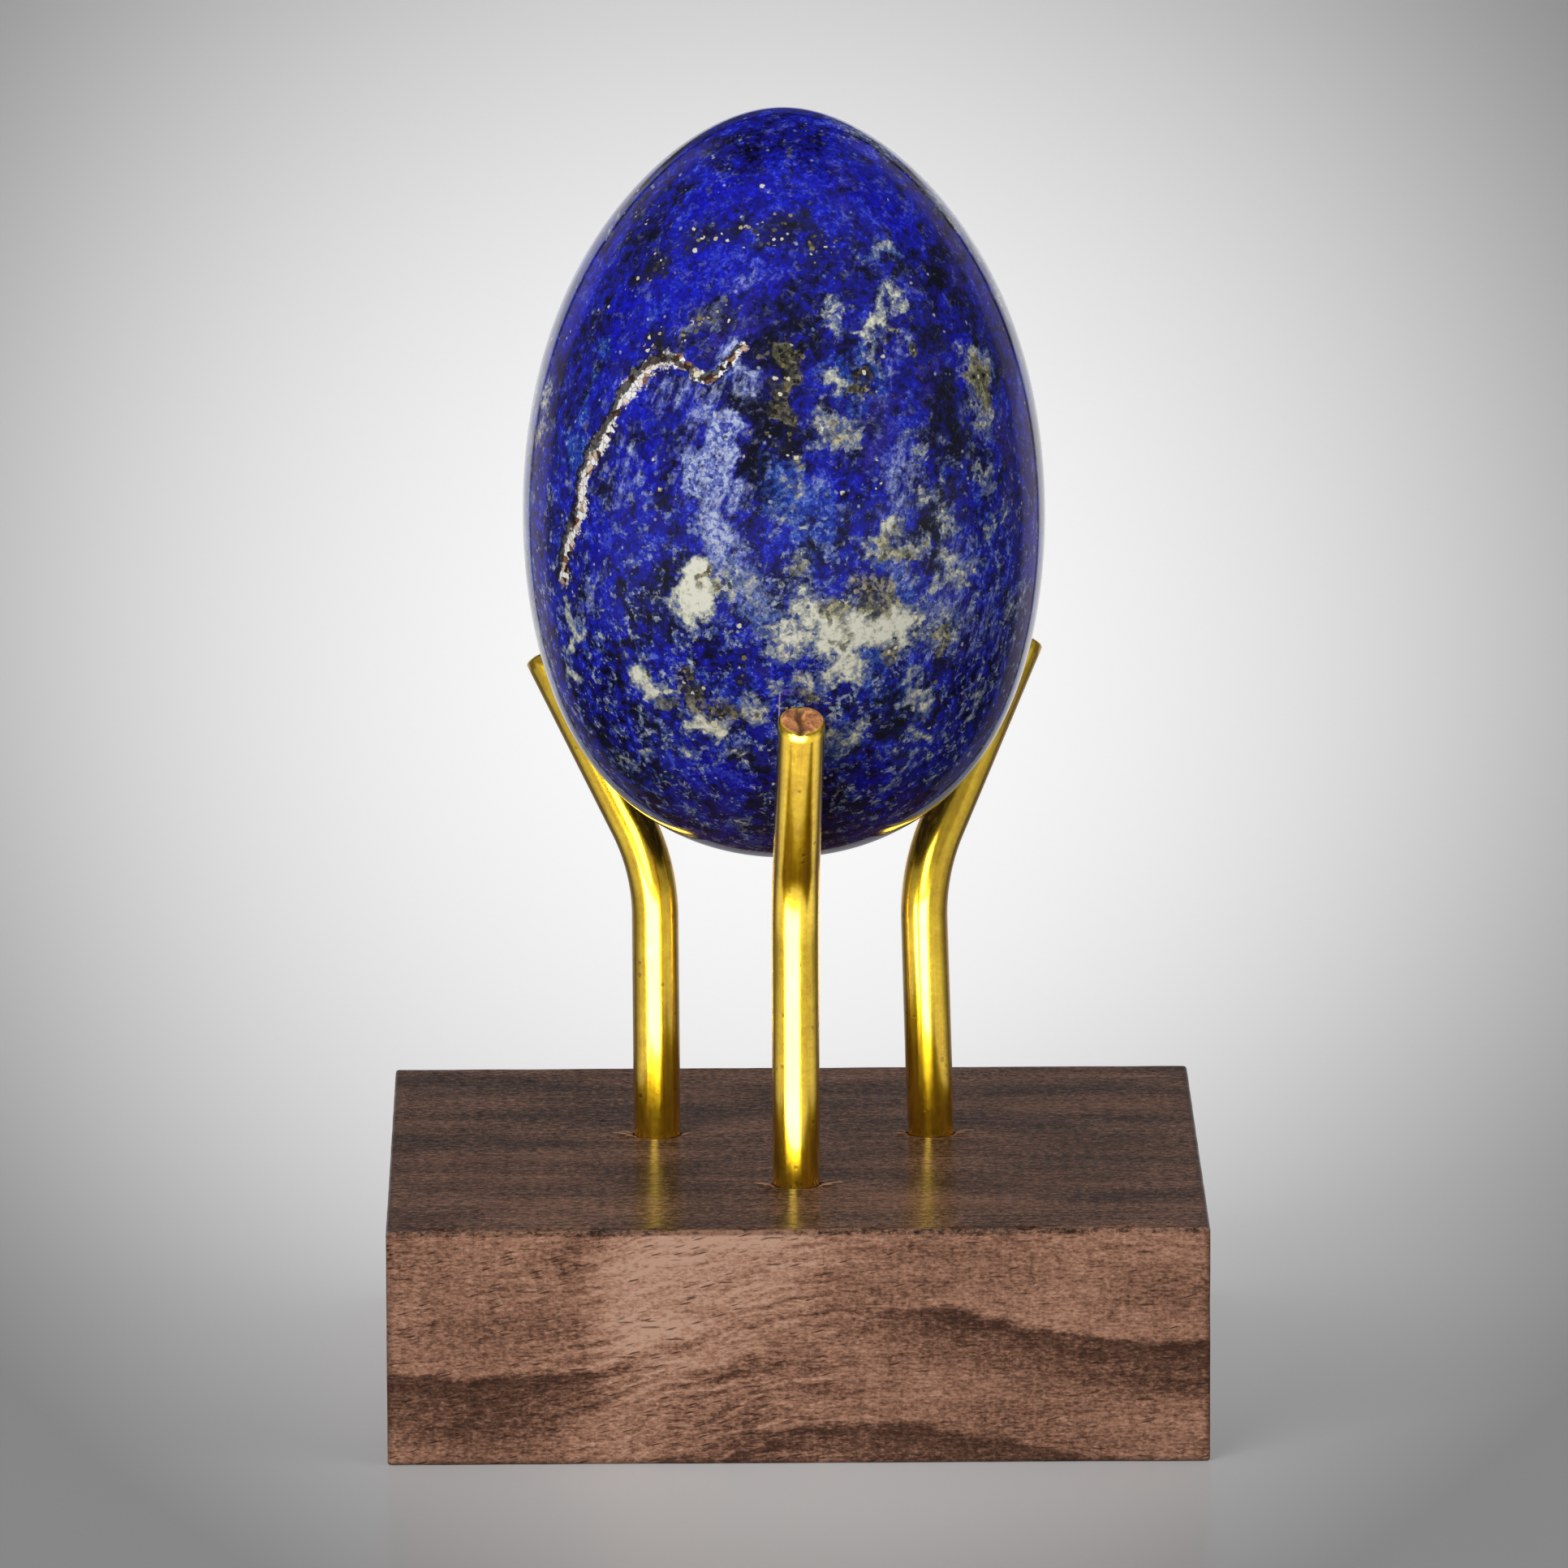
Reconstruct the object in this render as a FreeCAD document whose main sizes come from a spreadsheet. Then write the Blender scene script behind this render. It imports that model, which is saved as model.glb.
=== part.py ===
"""A polished stone egg that rests on three bent brass rods set in a hardwood block.

Millimetres, +Z up. The origin is the middle of the block's underside, and the front is at -Y. Each rod is a
straight bar that stands in a drilled hole, bends outwards once and ends in a straight arm. The egg lies loose
on the three arms, so its place is worked out from them.
"""
import FreeCAD, Part
import math
import os

import Sketcher

Vector = FreeCAD.Vector
Rotation = FreeCAD.Rotation
Placement = FreeCAD.Placement

# Driving sizes: alias, value, what it is. Lengths are in millimetres and angles in degrees.
SIZES = (
    ("block_width", 68.8, "block, left to right"),
    ("block_depth", 65.8, "block, front to back"),
    ("block_height", 20.0, "block, underside to top"),
    ("block_edge_ease", 0.4, "small bevel on every edge of the block"),
    ("rod_diameter", 4.0, "brass bar stock"),
    ("rod_end_bevel", 0.15, "bevel left at both ends of a rod"),
    ("bend_radius", 15.0, "bend of a rod, to the middle of the bar"),
    ("hole_depth", 12.0, "drilled hole, from the block's top to where the drill point starts"),
    ("hole_clearance", 0.04, "room round a rod in its hole, on the radius"),
    ("drill_point_angle", 118.0, "full angle of the cone that the drill leaves"),
    ("cut_overrun", 1.0, "how far a drill's cut stands out of the block"),
    ("rod_circle_radius", 13.5, "circle that the three holes lie on"),
    ("rod_circle_forward", 1.25, "how far that circle's middle is in front of the block's"),
    ("front_place_angle", -90.0, "front rod: its place round the circle, from +X"),
    ("front_twist_angle", 3.3, "front rod: how far its arm is turned from straight out"),
    ("front_tilt_angle", 0.0, "front rod: upright's lean from vertical, outwards"),
    ("front_upright", 20.8, "front rod: block's top to the start of the bend"),
    ("front_lean_angle", 28.4, "front rod: arm's lean from vertical, outwards"),
    ("front_arm", 15.45, "front rod: straight arm past the bend"),
    ("right_place_angle", 30.0, "right rod: its place round the circle, from +X"),
    ("right_twist_angle", 5.9, "right rod: how far its arm is turned from straight out"),
    ("right_tilt_angle", -2.0, "right rod: upright's lean from vertical, outwards"),
    ("right_upright", 18.8, "right rod: block's top to the start of the bend"),
    ("right_lean_angle", 29.0, "right rod: arm's lean from vertical, outwards"),
    ("right_arm", 17.6, "right rod: straight arm past the bend"),
    ("left_place_angle", 150.0, "left rod: its place round the circle, from +X"),
    ("left_twist_angle", 0.4, "left rod: how far its arm is turned from straight out"),
    ("left_tilt_angle", 0.3, "left rod: upright's lean from vertical, outwards"),
    ("left_upright", 19.2, "left rod: block's top to the start of the bend"),
    ("left_lean_angle", 30.8, "left rod: arm's lean from vertical, outwards"),
    ("left_arm", 16.35, "left rod: straight arm past the bend"),
    ("egg_height", 63.9, "egg, blunt end to pointed end"),
    ("egg_width", 44.2, "egg, across its widest place"),
    ("seat_gap", 0.05, "room between the egg and each arm"),
)

# The three rods: the name of each, and the first word of its own sizes.
RODS = (("front_rod", "front"), ("rear_right_rod", "right"), ("rear_left_rod", "left"))

# The half outline of the egg is one cubic curve. Its control points run from the blunt end to the pointed end:
# distance from the axis as a share of half the width, and height as a share of the whole height. The curve stays
# inside them, and its own widest place has a share of 1.
EGG_OUTLINE_SHARES = (
    (0.0, 0.0),
    (0.338, 0.0),
    (0.899, 0.108),
    (1.0715, 0.508),
    (0.798, 0.849),
    (0.257, 1.0),
    (0.0, 1.0),
)
OUTLINE_DEGREE = 3

SEAT_ROUNDS = 40
SEAT_TOLERANCE = 1e-6


def size_sheet(doc):
    """The spreadsheet that holds every driving size, one alias each."""
    sheet = doc.addObject("Spreadsheet::Sheet", "Sizes")
    for row, (alias, value, meaning) in enumerate(SIZES, start=1):
        sheet.set(f"A{row}", alias)
        sheet.set(f"B{row}", str(value))
        sheet.set(f"C{row}", meaning)
        sheet.setAlias(f"B{row}", alias)
    doc.recompute()
    return sheet


def new_body(doc, name, label):
    """An empty body with the label that its file is named by."""
    body = doc.addObject("PartDesign::Body", name)
    body.Label = label
    return body


def new_sketch(body, name, plane_role):
    """An empty sketch on one of the body's own origin planes, such as XY_Plane."""
    plane = next(feature for feature in body.Origin.OriginFeatures if feature.Role == plane_role)
    sketch = body.newObject("Sketcher::SketchObject", name)
    sketch.AttachmentSupport = [(plane, "")]
    sketch.MapMode = "FlatFace"
    return sketch


def drive(sketch, constraint, name, expression):
    """Adds a dimension to the sketch and binds it to the sheet."""
    index = sketch.addConstraint(constraint)
    sketch.renameConstraint(index, name)
    sketch.setExpression(f"Constraints.{name}", expression)


def block_plan(body, sheet):
    """The block's outline from above: a rectangle round the origin."""
    plan = new_sketch(body, "BlockPlan", "XY_Plane")
    width, depth = sheet.block_width, sheet.block_depth
    right, back = width / 2, depth / 2
    corners = (Vector(-right, -back), Vector(right, -back), Vector(right, back), Vector(-right, back))
    following = corners[1:] + corners[:1]
    for start, end in zip(corners, following):
        plan.addGeometry(Part.LineSegment(start, end))
    for side in range(len(corners)):
        plan.addConstraint(Sketcher.Constraint("Coincident", side, 2, (side + 1) % len(corners), 1))
        plan.addConstraint(Sketcher.Constraint("Vertical" if side % 2 else "Horizontal", side))
    plan.addConstraint(Sketcher.Constraint("Symmetric", 0, 1, 1, 2, -1, 1))
    drive(plan, Sketcher.Constraint("DistanceX", 0, 1, 0, 2, width), "width", "Sizes.block_width")
    drive(plan, Sketcher.Constraint("DistanceY", 1, 1, 1, 2, depth), "depth", "Sizes.block_depth")
    return plan


def drill_hole(doc, body, sheet, prefix):
    """One blind hole along a rod's upright, with the cone that the drill's point leaves under it."""
    before = body.Shape.Volume
    mouth = rod_placement(sheet, prefix)
    hole_radius = "Sizes.rod_diameter / 2 + Sizes.hole_clearance"
    hole = body.newObject("PartDesign::SubtractiveCylinder", f"{prefix.title()}Hole")
    hole.setExpression("Radius", hole_radius)
    hole.setExpression("Height", "Sizes.hole_depth + Sizes.cut_overrun")
    hole.Placement = mouth.multiply(Placement(Vector(0, 0, -sheet.hole_depth), Rotation()))
    doc.recompute()

    point = body.newObject("PartDesign::SubtractiveCone", f"{prefix.title()}DrillPoint")
    point.Radius1 = 0
    point.setExpression("Radius2", hole_radius)
    point.setExpression("Height", f"({hole_radius}) / tan(Sizes.drill_point_angle / 2)")
    doc.recompute()
    point_depth = sheet.hole_depth + point.Height.Value
    point.Placement = mouth.multiply(Placement(Vector(0, 0, -point_depth), Rotation()))
    doc.recompute()
    if body.Shape.Volume >= before:
        raise ValueError(f"the hole for the {prefix} rod cuts nothing")


def make_block(doc, sheet):
    """The hardwood block: a plain board with eased edges and one drilled hole for each rod."""
    body = new_body(doc, "Block", "base_block")
    board = body.newObject("PartDesign::Pad", "Board")
    board.Profile = block_plan(body, sheet)
    board.setExpression("Length", "Sizes.block_height")
    doc.recompute()
    eased = body.newObject("PartDesign::Chamfer", "EasedEdges")
    eased.Base = (board, [f"Edge{number}" for number, _ in enumerate(board.Shape.Edges, start=1)])
    eased.setExpression("Size", "Sizes.block_edge_ease")
    doc.recompute()
    for _, prefix in RODS:
        drill_hole(doc, body, sheet, prefix)
    return body


def rod_placement(sheet, prefix):
    """Where a rod's own frame lies: its origin is the middle of the hole's mouth, +Z runs up the upright and +X
    points the way that the arm leans."""
    place = math.radians(sheet.get(f"{prefix}_place_angle"))
    mouth = Vector(
        sheet.rod_circle_radius * math.cos(place),
        sheet.rod_circle_radius * math.sin(place) - sheet.rod_circle_forward,
        sheet.block_height,
    )
    heading = Rotation(Vector(0, 0, 1), sheet.get(f"{prefix}_place_angle") + sheet.get(f"{prefix}_twist_angle"))
    tilt = Rotation(Vector(0, 1, 0), sheet.get(f"{prefix}_tilt_angle"))
    return Placement(mouth, heading.multiply(tilt))


def rod_line(body, sheet, prefix):
    """A rod's middle line in its own frame: the upright from the foot of the hole, the bend and the arm."""
    line = new_sketch(body, f"{prefix.title()}Line", "XZ_Plane")
    depth, radius = sheet.hole_depth, sheet.bend_radius
    upright, arm = sheet.get(f"{prefix}_upright"), sheet.get(f"{prefix}_arm")
    turn = math.radians(sheet.get(f"{prefix}_lean_angle") - sheet.get(f"{prefix}_tilt_angle"))
    bend_start, bend_middle = Vector(0, upright), Vector(radius, upright)
    bend_end = bend_middle + Vector(-radius * math.cos(turn), radius * math.sin(turn))
    tip = bend_end + Vector(arm * math.sin(turn), arm * math.cos(turn))
    bend_circle = Part.Circle(bend_middle, Vector(0, 0, 1), radius)
    line.addGeometry(Part.LineSegment(Vector(0, -depth), bend_start))
    line.addGeometry(Part.ArcOfCircle(bend_circle, math.pi - turn, math.pi))
    line.addGeometry(Part.LineSegment(bend_end, tip))

    line.addConstraint(Sketcher.Constraint("PointOnObject", 0, 1, -2))
    line.addConstraint(Sketcher.Constraint("Vertical", 0))
    line.addConstraint(Sketcher.Constraint("Tangent", 0, 2, 1, 2))
    line.addConstraint(Sketcher.Constraint("Tangent", 1, 1, 2, 1))
    drive(line, Sketcher.Constraint("DistanceY", 0, 1, -1, 1, depth), "in_hole", "Sizes.hole_depth")
    drive(line, Sketcher.Constraint("DistanceY", -1, 1, 0, 2, upright), "upright", f"Sizes.{prefix}_upright")
    drive(line, Sketcher.Constraint("Radius", 1, radius), "bend", "Sizes.bend_radius")
    leaning = f"Sizes.{prefix}_lean_angle - Sizes.{prefix}_tilt_angle"
    drive(line, Sketcher.Constraint("Angle", 2, 1, 0, 1, turn), "turn", leaning)
    drive(line, Sketcher.Constraint("Distance", 2, arm), "arm", f"Sizes.{prefix}_arm")
    return line


def rod_section(body, sheet, prefix):
    """The round section of the bar, at the foot of the hole."""
    section = new_sketch(body, f"{prefix.title()}Section", "XY_Plane")
    section.setExpression("AttachmentOffset.Base.z", "-Sizes.hole_depth")
    diameter = sheet.rod_diameter
    section.addGeometry(Part.Circle(Vector(0, 0), Vector(0, 0, 1), diameter / 2))
    section.addConstraint(Sketcher.Constraint("Coincident", 0, 3, -1, 1))
    drive(section, Sketcher.Constraint("Diameter", 0, diameter), "across", "Sizes.rod_diameter")
    return section


def end_rims(shape):
    """The names of the edges round a bar's two flat ends."""
    ends = [face for face in shape.Faces if isinstance(face.Surface, Part.Plane)]
    rims = [rim for face in ends for rim in face.Edges]
    numbered = enumerate(shape.Edges, start=1)
    return [f"Edge{number}" for number, edge in numbered if any(edge.isSame(rim) for rim in rims)]


def make_rod(doc, sheet, label, prefix):
    """One bent rod, swept along its middle line, with a small bevel at both ends. Returns the body and the line."""
    body = new_body(doc, f"{prefix.title()}Rod", label)
    line = rod_line(body, sheet, prefix)
    section = rod_section(body, sheet, prefix)
    bar = body.newObject("PartDesign::AdditivePipe", f"{prefix.title()}Bar")
    bar.Profile = section
    bar.Spine = (line, [f"Edge{number}" for number, _ in enumerate(line.Geometry, start=1)])
    doc.recompute()

    ends = body.newObject("PartDesign::Chamfer", f"{prefix.title()}Ends")
    ends.Base = (bar, end_rims(bar.Shape))
    ends.setExpression("Size", "Sizes.rod_end_bevel")
    body.Placement = rod_placement(sheet, prefix)
    doc.recompute()
    return body, line


def egg_outline(body, sheet):
    """The egg's half outline, closed along its axis. Each control point is bound to the sheet by its shares."""
    outline = new_sketch(body, "EggOutline", "XZ_Plane")
    half, height = sheet.egg_width / 2, sheet.egg_height
    curve = Part.BSplineCurve()
    points = [Vector(across * half, up * height) for across, up in EGG_OUTLINE_SHARES]
    curve.buildFromPoles(points, False, OUTLINE_DEGREE)
    outline.addGeometry(curve)
    outline.exposeInternalGeometry(0)
    for number, (across, up) in enumerate(EGG_OUTLINE_SHARES, start=1):
        if across:
            away = Sketcher.Constraint("DistanceX", -1, 1, number, 3, across * half)
            drive(outline, away, f"across_{number}", f"Sizes.egg_width / 2 * {across}")
        else:
            outline.addConstraint(Sketcher.Constraint("PointOnObject", number, 3, -2))
        if up:
            above = Sketcher.Constraint("DistanceY", -1, 1, number, 3, up * height)
            drive(outline, above, f"up_{number}", f"Sizes.egg_height * {up}")
        else:
            outline.addConstraint(Sketcher.Constraint("PointOnObject", number, 3, -1))
    axis = outline.addGeometry(Part.LineSegment(Vector(0, height), Vector(0, 0)))
    outline.addConstraint(Sketcher.Constraint("Coincident", axis, 1, 0, 2))
    outline.addConstraint(Sketcher.Constraint("Coincident", axis, 2, 0, 1))
    return outline


def make_egg(doc, sheet):
    """The egg: its half outline turned once round its axis. Its own origin is its blunt end."""
    body = new_body(doc, "Egg", "egg")
    turned = body.newObject("PartDesign::Revolution", "Turned")
    turned.Profile = egg_outline(body, sheet)
    turned.ReferenceAxis = (turned.Profile[0], ["V_Axis"])
    turned.Angle = 360
    doc.recompute()
    return body


def placed_line(line, rod):
    """A rod's middle line where the rod stands."""
    path = line.Shape.copy()
    path.Placement = rod.Placement.multiply(path.Placement)
    return path


def egg_seat(sheet, egg, paths):
    """Where the egg's blunt end lies when the egg is one seat gap from all three arms. Each round measures the
    three distances and takes the one step that would close them if the surfaces were flat."""
    reach = sheet.rod_diameter / 2 + sheet.seat_gap
    seat = Vector(0, -sheet.rod_circle_forward, min(path.BoundBox.ZMax for path in paths))
    shape = egg.Shape.copy()
    for _ in range(SEAT_ROUNDS):
        shape.Placement = Placement(seat, Rotation())
        pulls, gaps = [], []
        for path in paths:
            distance, nearest, _ = shape.distToShape(path)
            on_egg, on_path = nearest[0]
            pulls.append((on_path - on_egg) / distance)
            gaps.append(distance - reach)
        if max(abs(gap) for gap in gaps) < SEAT_TOLERANCE:
            return seat
        first, second, third = pulls
        step = second.cross(third) * gaps[0] + third.cross(first) * gaps[1] + first.cross(second) * gaps[2]
        seat = seat + step / first.dot(second.cross(third))
    raise ValueError("the egg finds no seat on the three arms")


def check(doc, parts):
    """Stops if anything in the document failed, or a sub-part has no valid solid."""
    for thing in doc.Objects:
        if "Invalid" in thing.State or "Error" in thing.State:
            raise ValueError(f"{thing.Label} failed: {thing.State}")
    for part in parts:
        shape = part.Shape
        if shape.isNull() or not shape.isValid() or not shape.Solids:
            raise ValueError(f"{part.Label} has no valid solid")


def main():
    doc = FreeCAD.newDocument("EggOnStand")
    sheet = size_sheet(doc)
    block = make_block(doc, sheet)
    rods, paths = [], []
    for label, prefix in RODS:
        rod, line = make_rod(doc, sheet, label, prefix)
        rods.append(rod)
        paths.append(placed_line(line, rod))
    egg = make_egg(doc, sheet)
    egg.Placement = Placement(egg_seat(sheet, egg, paths), Rotation())
    doc.recompute()

    parts = [block, *rods, egg]
    check(doc, parts)
    os.makedirs("parts", exist_ok=True)
    for part in parts:
        part.Shape.exportStep(f"parts/{part.Label}.step")
        box = part.Shape.optimalBoundingBox()
        print(f"{part.Label}: {part.Shape.Volume:.1f} mm3, z {box.ZMin:.2f} to {box.ZMax:.2f}")
    print(f"the egg's blunt end is at {egg.Placement.Base}")


main()
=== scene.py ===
import math
import random

import bmesh
import bpy
import numpy as np
from mathutils import Matrix, Vector, noise
from mathutils.bvhtree import BVHTree


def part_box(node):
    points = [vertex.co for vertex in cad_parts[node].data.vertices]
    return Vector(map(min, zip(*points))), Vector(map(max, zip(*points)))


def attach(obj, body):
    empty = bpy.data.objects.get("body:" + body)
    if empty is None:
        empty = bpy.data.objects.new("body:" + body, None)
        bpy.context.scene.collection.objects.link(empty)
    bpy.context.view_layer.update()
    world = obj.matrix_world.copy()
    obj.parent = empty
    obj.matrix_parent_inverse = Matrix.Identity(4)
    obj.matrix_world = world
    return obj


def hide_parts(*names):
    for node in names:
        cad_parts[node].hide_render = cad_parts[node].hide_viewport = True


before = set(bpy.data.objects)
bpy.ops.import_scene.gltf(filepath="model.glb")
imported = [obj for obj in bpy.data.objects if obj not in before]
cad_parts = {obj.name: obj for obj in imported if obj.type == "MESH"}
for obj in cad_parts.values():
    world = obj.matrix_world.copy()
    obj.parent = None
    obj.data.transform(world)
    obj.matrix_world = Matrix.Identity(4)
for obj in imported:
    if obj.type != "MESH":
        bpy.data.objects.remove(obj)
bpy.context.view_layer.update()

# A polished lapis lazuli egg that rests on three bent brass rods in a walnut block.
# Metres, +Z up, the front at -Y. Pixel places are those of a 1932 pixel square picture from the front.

MM = 0.001

# The camera, as the picture was taken.
PICTURE_SIDE = 1932
LENS_MM, SENSOR_MM = 415.9, 36.0
CAMERA_DISTANCE = 1.5368
CAMERA_RISE, CAMERA_YAW, CAMERA_ROLL = (math.radians(angle) for angle in (11.03, -0.432, -0.212))
AIM_ASIDE, AIM_HEIGHT = -0.000792, 0.051487
FOCAL_PIXELS = LENS_MM / SENSOR_MM * PICTURE_SIDE
PIXEL_ON_EGG = CAMERA_DISTANCE / FOCAL_PIXELS

# The egg: its half outline as shares of half its width and of its height.
EGG_OUTLINE_SHARES = ((0, 0), (0.338, 0), (0.899, 0.108), (1.0715, 0.508), (0.798, 0.849), (0.257, 1), (0, 1))
EGG_RINGS_A_SPAN, EGG_STEPS_A_QUARTER = 60, 96
EGG_BOX, BLOCK_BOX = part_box("egg"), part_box("base_block")

# The rods, in millimetres and degrees: place round the circle, twist, tilt, upright, lean and arm.
RODS = {
    "front_rod": (-90.0, 3.3, 0.0, 20.8, 28.4, 15.45),
    "rear_right_rod": (30.0, 5.9, -2.0, 18.8, 29.0, 17.6),
    "rear_left_rod": (150.0, 0.4, 0.3, 19.2, 30.8, 16.35),
}
ROD_RADIUS, BEND_RADIUS, HOLE_DEPTH = 2.0, 15.0, 12.0
ROD_CIRCLE_RADIUS, ROD_CIRCLE_FORWARD, BLOCK_TOP = 13.5, 1.25, 20.0
BLOCK_HALF_WIDTH = 34.4
HOLE_ROOM, ROD_END_BEVEL = 0.04, 0.15
ROD_SIDES, UPRIGHT_RINGS, BEND_RINGS, ARM_RINGS, END_RINGS, END_RING_WIDTH = 48, 24, 20, 20, 9, 0.2


def placed(name, data):
    """A new object in the scene."""
    made = bpy.data.objects.new(name, data)
    bpy.context.scene.collection.objects.link(made)
    return made


# Camera

def camera_axes():
    """Where the camera stands, and which way its right, its up and its back point."""
    back = Vector((
        math.sin(CAMERA_YAW) * math.cos(CAMERA_RISE),
        -math.cos(CAMERA_YAW) * math.cos(CAMERA_RISE),
        math.sin(CAMERA_RISE),
    ))
    level = Vector((math.cos(CAMERA_YAW), math.sin(CAMERA_YAW), 0))
    aim = level * AIM_ASIDE + Vector((0, 0, AIM_HEIGHT))
    upward = level.cross(-back)
    right = level * math.cos(CAMERA_ROLL) + upward * math.sin(CAMERA_ROLL)
    up = upward * math.cos(CAMERA_ROLL) - level * math.sin(CAMERA_ROLL)
    return aim + back * CAMERA_DISTANCE, right, up, back


def pixel_ray(x, y):
    """Where a look through a pixel of the picture starts, and which way it goes."""
    eye, right, up, back = camera_axes()
    middle = PICTURE_SIDE / 2
    ray = right * ((x - middle) / FOCAL_PIXELS) - up * ((y - middle) / FOCAL_PIXELS) - back
    return eye, ray.normalized()


def add_camera():
    eye, right, up, back = camera_axes()
    data = bpy.data.cameras.new("front_camera")
    data.lens, data.sensor_width = LENS_MM, SENSOR_MM
    data.clip_start, data.clip_end = 0.1, 50
    camera = placed("front_camera", data)
    turn = Matrix((right, up, back)).transposed()
    camera.matrix_world = Matrix.Translation(eye) @ turn.to_4x4()
    bpy.context.scene.camera = camera


# Nodes

def paint(red, green, blue):
    """A colour as a screen shows it, from 0 to 255, turned into what a shader takes."""
    shares = [value / 255 for value in (red, green, blue)]
    return tuple(s / 12.92 if s <= 0.04045 else ((s + 0.055) / 1.055) ** 2.4 for s in shares) + (1.0,)


class Tree:
    """Adds nodes to one node tree. A value handed to a socket is either a number or another node's output."""

    def __init__(self, tree):
        self.tree = tree

    def node(self, kind, feeds=None, **settings):
        made = self.tree.nodes.new(kind)
        for name, value in settings.items():
            setattr(made, name, value)
        for name, value in (feeds or {}).items():
            self.feed(made.inputs[name], value)
        return made

    def feed(self, socket, value):
        if isinstance(value, bpy.types.NodeSocket):
            self.tree.links.new(value, socket)
        else:
            socket.default_value = value

    def math(self, operation, first, second=0.0, clamp=False):
        made = self.node("ShaderNodeMath", {0: first, 1: second}, operation=operation, use_clamp=clamp)
        return made.outputs[0]

    def plus(self, *values):
        total = values[0]
        for value in values[1:]:
            total = self.math("ADD", total, value)
        return total

    def minus(self, first, second):
        return self.math("SUBTRACT", first, second)

    def times(self, *values):
        product = values[0]
        for value in values[1:]:
            product = self.math("MULTIPLY", product, value)
        return product

    def around_zero(self, value, strength):
        """A noise value, which lies around a half, as a push to either side of zero."""
        return self.times(self.minus(value, 0.5), strength)

    def step(self, value, low, high, out_low=0.0, out_high=1.0):
        """A soft step between two values, as spread() but eased at both ends."""
        feeds = {0: value, 1: low, 2: high, 3: out_low, 4: out_high}
        return self.node("ShaderNodeMapRange", feeds, interpolation_type="SMOOTHSTEP").outputs[0]

    def spread(self, value, low, high, out_low=0.0, out_high=1.0):
        """The value moved evenly from one range to another."""
        feeds = {0: value, 1: low, 2: high, 3: out_low, 4: out_high}
        return self.node("ShaderNodeMapRange", feeds).outputs[0]

    def mix(self, share, first, second):
        feeds = {0: share, 6: first, 7: second}
        return self.node("ShaderNodeMix", feeds, data_type="RGBA").outputs[2]

    def noise_node(self, place, scale, detail, roughness):
        feeds = {"Vector": place, "Scale": scale, "Detail": detail, "Roughness": roughness}
        return self.node("ShaderNodeTexNoise", feeds)

    def noise(self, place, scale, detail, roughness):
        return self.noise_node(place, scale, detail, roughness).outputs[0]

    def stretched(self, place, scales, detail, roughness):
        """A noise with a scale of its own in each direction."""
        return self.noise(self.mapping(place, scale=scales), 1.0, detail, roughness)

    def cells(self, place, scale, **settings):
        return self.node("ShaderNodeTexVoronoi", {"Vector": place, "Scale": scale}, **settings)

    def chances(self, cells):
        """Three values from 0 to 1 that are the same all over one cell."""
        return self.node("ShaderNodeSeparateColor", {0: cells.outputs["Color"]}).outputs

    def mapping(self, place, move=(0, 0, 0), turn=(0, 0, 0), scale=(1, 1, 1)):
        return self.node("ShaderNodeMapping", {0: place, 1: move, 2: turn, 3: scale}).outputs[0]

    def place_in_mm(self, middle=(0, 0, 0)):
        """Where a point of the piece is, in millimetres from a middle that is given in metres."""
        place = self.node("ShaderNodeTexCoord").outputs["Object"]
        return self.mapping(place, move=tuple(-1000 * c for c in middle), scale=(1000, 1000, 1000))

    def vector_math(self, operation, first, second):
        """Vector arithmetic. The second value is a length for SCALE and a vector for the others."""
        feeds = {0: first, "Scale" if operation == "SCALE" else 1: second}
        return self.node("ShaderNodeVectorMath", feeds, operation=operation).outputs[0]

    def warp(self, place, scale, reach):
        """The same places, each pushed aside by up to about the reach."""
        push = self.noise_node(place, scale, 2.0, 0.5).outputs[1]
        middle = self.vector_math("SUBTRACT", push, (0.5, 0.5, 0.5))
        return self.vector_math("ADD", place, self.vector_math("SCALE", middle, 2 * reach))

    def ramp(self, value, stops):
        made = self.node("ShaderNodeValToRGB", {0: value})
        elements = made.color_ramp.elements
        elements.remove(elements[1])
        (elements[0].position, elements[0].color), rest = stops[0], stops[1:]
        for where, colour in rest:
            elements.new(where).color = colour
        return made.outputs[0]

    def tones(self, value, stops):
        """A ramp whose stops are a place and the three parts of a screen's colour."""
        return self.ramp(value, [(where, paint(*colour)) for where, *colour in stops])

    def parts(self, vector):
        """The x, y and z of a vector."""
        return self.node("ShaderNodeSeparateXYZ", {0: vector}).outputs

    def field(self, name):
        return self.node("ShaderNodeAttribute", attribute_name=name).outputs["Fac"]

    def use(self, tree, feeds):
        """What comes out of a node group."""
        return self.node("ShaderNodeGroup", feeds, node_tree=tree).outputs

    def length(self, x, y):
        return self.math("SQRT", self.plus(self.times(x, x), self.times(y, y)))

    def relief(self, shader, strength, distance, height):
        """A fine relief of the surface. Its distance is in millimetres."""
        feeds = {"Strength": strength, "Distance": distance * MM, "Height": height}
        self.feed(shader.inputs["Normal"], self.node("ShaderNodeBump", feeds).outputs[0])


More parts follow.
